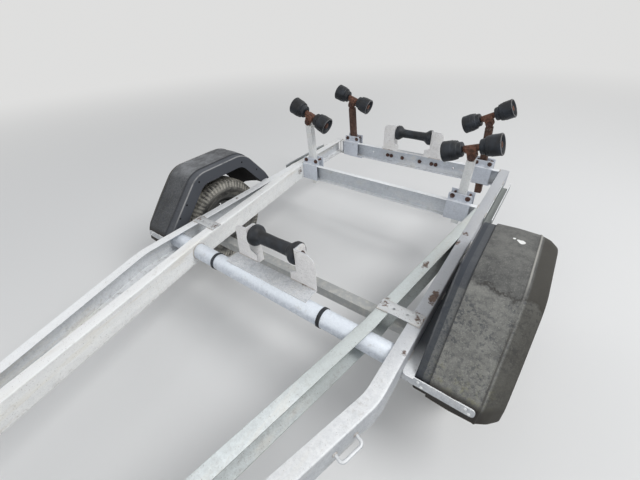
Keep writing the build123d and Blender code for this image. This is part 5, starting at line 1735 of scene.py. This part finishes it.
@dataclass
class Mudguard:
    """A moulded mudguard: a step along its inner edge, a bead, and an outer wall with a lip."""

    side: Side
    finishes: Finishes
    inner_x: float = 0.674
    step_x: float = 0.720
    crease_x: float = 0.868
    outer_x: float = 0.929
    step: float = 0.007
    drop: float = 0.032
    inner_wall: float = 0.068
    lip: float = 0.090
    thick: float = 0.0036
    end_round: float = 0.030
    end_from_x: float = 0.845
    end_reach: float = 0.16
    arch: tuple[tuple[float, float, float], ...] = (
        (-0.415, -0.118, 0.0), (-0.402, -0.050, 0.070), (-0.146, 0.208, 0.150), (0.205, 0.208, 0.150),
        (0.352, 0.026, 0.160), (0.424, -0.118, 0.0))

    def outline(self, drop: float) -> list[Flat]:
        """Return the arch as (y, z) points, moved inwards by a drop.

        Args:
            drop: How far inwards, in metres.

        Returns:
            The same number of points for every drop.
        """
        points = [Vector((WHEEL_Y + y, RAIL_TOP + z)) for y, z, _ in self.arch]
        runs = [(b - a).normalized() for a, b in zip(points[:-1], points[1:])]
        starts = [p + Vector((u.y, -u.x)) * drop for p, u in zip(points, runs)]
        floor = points[0].y

        def meet(p: Vector, u: Vector, q: Vector, v: Vector) -> Vector:
            """Return where two lines cross."""
            t = ((q.x - p.x) * v.y - (q.y - p.y) * v.x) / (u.x * v.y - u.y * v.x)
            return p + u * t

        level = Vector((1.0, 0.0))
        ground = Vector((0.0, floor))
        corners = [meet(starts[0], runs[0], ground, level)]
        corners += [meet(starts[i], runs[i], starts[i + 1], runs[i + 1]) for i in range(len(runs) - 1)]
        corners.append(meet(starts[-1], runs[-1], ground, level))
        line: list[Flat] = []
        last = corners[0]
        for i in range(1, len(corners) - 1):
            radius = max(self.arch[i][2] - drop, 0.012)
            u = (corners[i - 1] - corners[i]).normalized()
            v = (corners[i + 1] - corners[i]).normalized()
            half = u.angle(v) / 2
            run = radius / math.tan(half)
            first, after = corners[i] + u * run, corners[i] + v * run
            centre = corners[i] + (u + v).normalized() * (radius / math.sin(half))
            line += [tuple(last.lerp(first, k / 8)) for k in range(8)]
            a0 = math.atan2(first.y - centre.y, first.x - centre.x)
            a1 = math.atan2(after.y - centre.y, after.x - centre.x)
            sweep = (a1 - a0 + math.pi) % (2 * math.pi) - math.pi
            line += [(centre.x + radius * math.cos(a), centre.y + radius * math.sin(a))
                     for a in (a0 + sweep * k / 12 for k in range(12))]
            last = after
        line += [tuple(last.lerp(corners[-1], k / 8)) for k in range(9)]
        return line

    def section(self) -> list[Flat]:
        """Return the moulding's cross section, from the inner wall's foot to the outer lip.

        Returns:
            The points as (x, drop).
        """
        bead = self.crease_x
        return rounded([
            (self.inner_x + 0.001, self.step + self.inner_wall, 0.0),
            (self.inner_x, self.step, 0.009),
            (self.step_x - 0.0035, self.step + 0.0005, 0.0015),
            (self.step_x - 0.0005, self.step + 0.0018, 0.0015),
            (self.step_x + 0.0015, 0.0006, 0.0035),
            ((self.step_x + bead) / 2, -0.0022, 0.06),
            (bead - 0.0055, 0.0004, 0.003),
            (bead - 0.0022, -0.0014, 0.0015),
            (bead + 0.0018, -0.0012, 0.0015),
            (bead + 0.0045, 0.0022, 0.003),
            (bead + 0.032, 0.0100, 0.03),
            (self.outer_x - 0.0005, self.drop - 0.002, 0.018),
            (self.outer_x - 0.0005, self.drop + self.lip, 0.0),
        ], 4)

    def pulled_in(self, x: float, y: float) -> float:
        """Return a point's Y with the guard's front and rear outer corners rounded in plan.

        Args:
            x: Its half width.
            y: Its Y.

        Returns:
            The Y, nearer to the wheel.
        """
        across = max(0.0, (x - self.end_from_x) / (self.outer_x - self.end_from_x))
        front, rear = WHEEL_Y + self.arch[0][0], WHEEL_Y + self.arch[-1][0]
        ahead = max(0.0, 1.0 - (y - front) / self.end_reach)
        behind = max(0.0, 1.0 - (rear - y) / self.end_reach)
        return y + self.end_round * across ** 2 * (ahead ** 1.5 - behind ** 1.5)

    def build(self) -> None:
        """Make the moulding as one shell and put it in place of the CAD guard."""
        section = self.section()
        sign = self.side.value
        columns = [self.outline(drop) for _, drop in section]
        rows = len(columns[0])
        verts: list[Point] = []
        for i in range(rows):
            for (x, _), column in zip(section, columns):
                y, z = column[i]
                verts.append((sign * x, self.pulled_in(x, y), z))
        n = len(section)
        faces = [(i * n + j, i * n + j + 1, (i + 1) * n + j + 1, (i + 1) * n + j)
                 for i in range(rows - 1) for j in range(n - 1)]
        if self.side is Side.LEFT:
            faces = [tuple(reversed(face)) for face in faces]
        mesh = bpy.data.meshes.new("guard_" + self.side.word)
        mesh.from_pydata(verts, [], faces)
        guard = linked(mesh.name, mesh)
        middle = mesh.polygons[(rows // 2) * (n - 1) + n // 2]
        if middle.normal.z < 0:
            mesh.flip_normals()
        mesh.attributes.new("lip", "FLOAT", "POINT")
        edge = [max(float(j == n - 1), 0.7 * float(i in (0, rows - 1)))
                for i in range(rows) for j in range(n)]
        mesh.attributes["lip"].data.foreach_set("value", edge)
        mesh.shade_smooth()
        shell = guard.modifiers.new("wall", "SOLIDIFY")
        shell.thickness = self.thick
        shell.offset = -1.0
        shell.use_even_offset = True
        applied(guard)
        count = rows * n
        guard.data.attributes.new("inside", "FLOAT", "POINT")
        guard.data.attributes["inside"].data.foreach_set(
            "value", [float(i >= count) for i in range(len(guard.data.vertices))])
        shade(guard, math.radians(50.0))
        dressed(guard, "frame", self.finishes.guards[self.side], ["mudguard_" + self.side.word])
        log.info("mudguard %s: %d faces", self.side.word, len(guard.data.polygons))


@dataclass(frozen=True)
class TreadRow:
    """One row of tread blocks: its place across the tyre, a block's form and how deep it sits."""

    x: float
    length: float
    width: float
    skew: float = 0.0
    phase: float = 0.0
    tilt: float = 0.0
    sink: float = 0.0002


@dataclass
class RoadWheel:
    """A tyre with its tread blocks, wheel nuts, grease cap and valve."""

    side: Side
    finishes: Finishes
    bolts: BoltTree
    radius: float = 0.262
    width: float = 0.156
    rim: float = 0.1524
    tread_depth: float = 0.006
    root: float = 0.004
    blocks: int = 66
    nut_ring: float = 0.050
    nut_thread: float = 0.0118
    tread_rows: tuple[TreadRow, ...] = (
        TreadRow(0.058, 0.0185, 0.023, 0.0, 0.0, 0.30, 0.0068),
        TreadRow(0.030, 0.0195, 0.021, 0.35, 0.5, 0.05, 0.0010),
        TreadRow(0.000, 0.0210, 0.022),
        TreadRow(-0.030, 0.0195, 0.021, -0.35, 0.5, -0.05, 0.0010),
        TreadRow(-0.058, 0.0185, 0.023, 0.0, 0.0, -0.30, 0.0068),
    )

    @property
    def body(self) -> str:
        """Return the wheel's CAD body."""
        return "wheel_" + self.side.word

    @property
    def centre(self) -> Vector:
        """Return the wheel's centre."""
        return Vector((self.side.value * WHEEL_X, WHEEL_Y, WHEEL_Z))

    def carcass(self) -> bpy.types.Object:
        """Return the tyre without its tread blocks.

        Returns:
            The object.
        """
        half = self.width / 2
        crown = self.radius - self.tread_depth
        side_line = [
            (0.050, self.rim - 0.0017, 0.0), (0.056, self.rim + 0.012, 0.004),
            (0.0585, self.rim + 0.014, 0.001), (0.0615, self.rim + 0.020, 0.006),
            (half - 0.005, self.rim + 0.040, 0.03),
            (half - 0.0005, self.rim + 0.060, 0.02), (half - 0.0005, self.rim + 0.064, 0.001),
            (half - 0.0025, self.rim + 0.066, 0.001), (half - 0.006, self.radius - 0.026, 0.02),
            (half - 0.015, crown - 0.007, 0.012), (half - 0.034, crown - 0.001, 0.02), (0.0, crown, 0.0)]
        outer = rounded(side_line, 4)
        profile = outer + [(-x, r) for x, r in reversed(outer[:-1])]
        return turned("tyre_" + self.side.word + "_tread", profile, self.centre, ACROSS, 96)

    def tread(self) -> bpy.types.Object:
        """Return the tread blocks, stood round the tyre by Geometry Nodes.

        Returns:
            The object.
        """
        tree = Tree("tread_blocks_" + self.side.word, [
            ("Material", "NodeSocketMaterial", None), ("Blocks", "NodeSocketInt", self.blocks),
            ("Radius", "NodeSocketFloat", self.radius)])
        whole = tree.joined([self.tread_row(tree, row) for row in self.tread_rows])
        tree.close(tree.moved(whole, {
            "Rotation": (0.0, math.pi / 2, 0.0), "Translation": tuple(self.centre)}))
        start = point_object("tread_" + self.side.word, [BoltRow((0.0, 0.0, 0.0), (0.0, 0.0, 1.0), 1.0)])
        return tree.run(start, {"Material": self.finishes.tyre, "Blocks": self.blocks, "Radius": self.radius})

    def tread_row(self, tree: Tree, row: TreadRow) -> Any:
        """Return one row of blocks, round Z.

        Args:
            tree: The tree that makes it.
            row: The row's sizes.

        Returns:
            The geometry socket.
        """
        height = self.tread_depth + self.root
        block = tree.node("GeometryNodeMeshCone", {"fill_type": "NGON"}, {
            "Vertices": 4, "Radius Bottom": 0.78, "Radius Top": 0.70, "Depth": 1.0})
        squared = tree.moved(block.outputs["Mesh"], {"Rotation": (0.0, 0.0, math.pi / 4)})
        sized = tree.moved(squared, {
            "Scale": (row.width, row.length, height), "Rotation": (-row.tilt, 0.0, row.skew)})
        circle = tree.node("GeometryNodeMeshCircle", {}, {
            "Vertices": tree.given("Blocks"), "Radius": tree.given("Radius")})
        points = tree.moved(circle.outputs[0], {
            "Rotation": (0.0, 0.0, math.pi * 2 / self.blocks * row.phase)})
        place = tree.node("GeometryNodeInputPosition", {}, {})
        facing = tree.node("FunctionNodeAlignRotationToVector", {"axis": "Z", "pivot_axis": "Y"}, {
            "Vector": place.outputs[0], "Rotation": (math.pi / 2, 0.0, 0.0)})
        around = tree.on_points(points, sized, facing.outputs[0])
        real = tree.node("GeometryNodeRealizeInstances", {}, {"Geometry": around})
        shrink = 1.0 - (height + row.sink) / self.radius
        return tree.moved(real.outputs[0], {
            "Translation": (0.0, 0.0, row.x), "Scale": (shrink, shrink, 1.0)})

    def small_parts(self) -> bpy.types.Object:
        """Return the grease cap and the valve.

        Returns:
            Both as one object.
        """
        sign = self.side.value
        out = Vector((sign, 0.0, 0.0))
        dome = rounded([(0.0, 0.024, 0.0), (0.006, 0.024, 0.001), (0.007, 0.0215, 0.001),
                        (0.022, 0.0205, 0.006), (0.026, 0.012, 0.004), (0.0265, 0.0002, 0.0)], 3)
        cap = turned("cap", dome, self.centre + out * 0.022, out, 36, closed=False)
        stem = self.centre + Vector((-sign * 0.012, 0.0, 0.098))
        valve = turned("valve", [(0.0, 0.0055), (0.006, 0.0045), (0.012, 0.0036), (0.030, 0.0036),
                                 (0.030, 0.0044), (0.038, 0.0044), (0.039, 0.0002)],
                       stem, out, 16, closed=False)
        cap.data.materials.append(self.finishes.bright_zinc)
        valve.data.materials.append(self.finishes.rubber)
        return fused("cap_and_valve_" + self.side.word, [cap, valve])

    def build(self) -> None:
        """Make the wheel's pieces and dress them."""
        carcass = self.carcass()
        carcass.data.materials.append(self.finishes.tyre)
        tyre = fused("tyre_" + self.side.word + "_dressed", [carcass, self.tread()])
        dressed(tyre, self.body, None, ["tyre_" + self.side.word])
        sign = self.side.value
        ring, face = self.nut_ring, sign * (WHEEL_X - 0.0155)
        rows = [BoltRow((face, WHEEL_Y + ring * math.cos(a), WHEEL_Z + ring * math.sin(a)),
                        (sign, 0.0, 0.0), self.nut_thread, a)
                for a in (math.radians(90.0 * i + 45.0) for i in range(4))]
        nuts = self.bolts.build("wheel_nuts_" + self.side.word, rows, self.finishes.rusty_bolt)
        dressed(nuts, self.body, None)
        dressed(self.small_parts(), self.body, None)
        log.info("road wheel %s", self.side.word)


@dataclass
class HullRollers:
    """A pair of stepped rubber rollers on one rocker, each with a neck, a drum and an open cup."""

    corner: str
    finishes: Finishes
    near: float = 0.042
    step: float = 0.069
    far: float = 0.139
    neck: float = 0.0375
    drum: float = 0.0485
    big: float = 0.0525
    cup: float = 0.042
    cup_depth: float = 0.019
    bore: float = 0.0082

    def profile(self) -> list[Flat]:
        """Return one roller's closed section.

        Returns:
            The points as (along, radius).
        """
        floor = self.far - self.cup_depth
        return rounded([
            (self.near, self.bore, 0.0), (self.near, self.neck - 0.003, 0.002),
            (self.near + 0.004, self.neck, 0.003), (self.step - 0.006, self.neck + 0.0015, 0.003),
            (self.step - 0.001, self.neck + 0.010, 0.004),
            (self.step, self.drum - 0.004, 0.003), (self.step + 0.006, self.drum, 0.004),
            (self.step + 0.020, self.drum + 0.0015, 0.001), (self.step + 0.0215, self.drum + 0.0030, 0.001),
            (self.far - 0.009, self.big - 0.0008, 0.001), (self.far - 0.008, self.big, 0.001),
            (self.far - 0.003, self.big, 0.002), (self.far, self.big - 0.003, 0.0015),
            (self.far, self.cup + 0.005, 0.0015), (self.far - 0.003, self.cup + 0.002, 0.002),
            (floor + 0.004, self.cup - 0.003, 0.004), (floor, self.cup - 0.010, 0.003),
            (floor, 0.018, 0.001), (floor + 0.004, 0.017, 0.001), (floor + 0.004, self.bore, 0.0),
        ], 3)

    def build(self) -> None:
        """Make both rollers of the pair as one piece."""
        place, axis = joint_line(f"hull_rollers_{self.corner}_spin")
        shape = self.profile()
        pair = [turned("half", shape, place, axis * sign, 64) for sign in reversed(SIGNS)]
        for half in pair:
            half.data.materials.append(self.finishes.rubber)
            half.data.materials.append(self.finishes.rim_highlight_rubber)
            # The open cup's rim faces take the pale rubber: a painted highlight on the rim.
            for face in half.data.polygons:
                out = face.center - place
                along = abs(out.dot(axis))
                if along > self.far - 0.0025 and (out - axis * out.dot(axis)).length > self.cup + 0.004:
                    face.material_index = 1
        both = fused(f"rubber_rollers_{self.corner}", pair)
        dressed(both, f"hull_rollers_{self.corner}", None, [f"hull_rollers_{self.corner}"])


@dataclass
class WaistedRoller:
    """A rubber roller with drums at its ends and a narrow waist, for the keel or the bow."""

    node: str
    finishes: Finishes
    half: float
    end: float
    waist: float
    drum: float
    bore: float

    def build(self) -> None:
        """Make the roller in place of its CAD node."""
        place, axis = joint_line(self.node + "_spin")
        half, drum = self.half, self.drum
        right = rounded([
            (half, self.bore, 0.0), (half, self.end - 0.012, 0.002), (half - 0.002, self.end - 0.004, 0.003),
            (half - 0.008, self.end, 0.004), (half - drum * 0.75, self.end, 0.005),
            (half - drum, self.end - 0.004, 0.006), (half - drum - 0.012, self.waist + 0.007, 0.010),
            (half - drum - 0.024, self.waist + 0.0015, 0.006), (0.0, self.waist, 0.0)], 4)
        shape = right + [(-along, radius) for along, radius in reversed(right[:-1])]
        roller = turned(self.node + "_moulded", shape, place, axis, 64)
        dressed(roller, self.node, self.finishes.rubber, [self.node])


@dataclass
class Photograph:
    """The camera that looks as the photograph does."""

    place: Point = (0.7887, -0.131, 1.342)
    yaw: float = 38.052
    pitch: float = 37.017
    roll: float = 3.654
    lens: float = 17.847
    sensor: float = 36.0

    def build(self) -> None:
        """Make the camera and set it as the scene's."""
        yaw, pitch, roll = (math.radians(v) for v in (self.yaw, self.pitch, self.roll))
        ahead = Vector((-math.sin(yaw) * math.cos(pitch), math.cos(yaw) * math.cos(pitch), -math.sin(pitch)))
        level = Vector((math.cos(yaw), math.sin(yaw), 0.0))
        down = ahead.cross(level)
        right = math.cos(roll) * level + math.sin(roll) * down
        below = -math.sin(roll) * level + math.cos(roll) * down
        data = bpy.data.cameras.new("camera")
        data.lens = self.lens
        data.sensor_width = self.sensor
        data.clip_start = 0.05
        data.clip_end = 60.0
        camera = linked("camera", data)
        turn = Matrix((right, -below, -ahead)).transposed().to_4x4()
        camera.matrix_world = Matrix.Translation(self.place) @ turn
        bpy.context.scene.camera = camera


@dataclass
class Lamp:
    """A soft square lamp that faces the trailer."""

    name: str
    place: Point
    size: float
    power: float


@dataclass
class Studio:
    """A pale floor that fades to white, and soft lamps."""

    floor_size: float = 60.0
    floor_colour: Colour = (0.78, 0.78, 0.775)
    far_colour: Colour = (0.735, 0.735, 0.73)
    sky: float = 0.38
    aim: Point = (0.0, 0.6, 0.4)
    lamps: tuple[Lamp, ...] = (
        Lamp("key", (3.4, 1.8, 4.6), 2.4, 152.0),
        Lamp("fill", (-4.4, -0.6, 4.0), 4.0, 40.0),
        Lamp("front", (0.8, -4.6, 3.2), 3.2, 84.0),
        Lamp("back", (0.2, 5.8, 3.6), 3.0, 42.0),
    )

    def floor(self) -> None:
        """Make the floor, which fades to the backdrop's colour far away."""
        half = self.floor_size / 2
        mesh = bpy.data.meshes.new("floor")
        corners = [(-half, -half, 0), (half, -half, 0), (half, half, 0), (-half, half, 0)]
        mesh.from_pydata(corners, [], [(0, 1, 2, 3)])
        floor = linked("floor", mesh)
        s = Sheet("floor")
        matt = s.node("ShaderNodeBsdfDiffuse", {}, {"Color": self.floor_colour})
        glow = s.node("ShaderNodeEmission", {}, {"Color": self.far_colour, "Strength": 1.0})
        away = s.node("ShaderNodeVectorMath", {"operation": "LENGTH"}, {0: s.coordinates})
        far = Num(s, away.outputs["Value"]).between(1.6, 9.0)
        mix = s.node("ShaderNodeMixShader", {}, {
            0: far * s.sees_background(), 1: matt.outputs[0], 2: glow.outputs[0]})
        s.tree.links.new(mix.outputs[0], s.output.inputs[0])
        mesh.materials.append(s.material)

    def backdrop(self) -> None:
        """Make the world: a soft sky for the light, and the pale backdrop where it is seen."""
        s = Sheet("world", world=True)
        soft = s.node("ShaderNodeBackground", {}, {"Color": (0.93, 0.96, 1.0), "Strength": self.sky})
        pale = s.node("ShaderNodeBackground", {}, {"Color": self.far_colour, "Strength": 1.0})
        mix = s.node("ShaderNodeMixShader", {}, {
            0: s.sees_background(), 1: soft.outputs[0], 2: pale.outputs[0]})
        s.tree.links.new(mix.outputs[0], s.output.inputs[0])
        bpy.context.scene.world = s.material

    def build(self) -> None:
        """Make the floor, the lamps and the world."""
        self.floor()
        self.backdrop()
        for row in self.lamps:
            data = bpy.data.lights.new(row.name, "AREA")
            data.size = row.size
            data.energy = row.power
            lamp = linked(row.name, data)
            lamp.location = row.place
            lamp.rotation_mode = "QUATERNION"
            lamp.rotation_quaternion = (Vector(row.place) - Vector(self.aim)).to_track_quat("Z", "Y")


def main() -> None:
    """Build every part of the trailer's looks in order."""
    logging.basicConfig(level=logging.INFO, format="%(name)s: %(message)s")
    bpy.context.scene.view_settings.view_transform = "Standard"
    Photograph().build()
    Studio().build()
    finishes = Finishes()
    bolts = BoltTree()
    Ironwork(finishes).build()
    for side in Side:
        Mudguard(side, finishes).build()
        RoadWheel(side, finishes, bolts).build()
    Fixings(finishes, bolts, RivetTree()).build()
    Welds(finishes, WeldTree()).build()
    for corner in CORNERS:
        HullRollers(corner, finishes).build()
    for end in ("front", "rear"):
        WaistedRoller(f"keel_roller_{end}", finishes, 0.128, 0.048, 0.027, 0.030, 0.0091).build()
    WaistedRoller("bow_roller", finishes, 0.060, 0.040, 0.018, 0.012, 0.0081).build()
    log.info("rubber rollers")


if __name__ == "__main__":
    main()
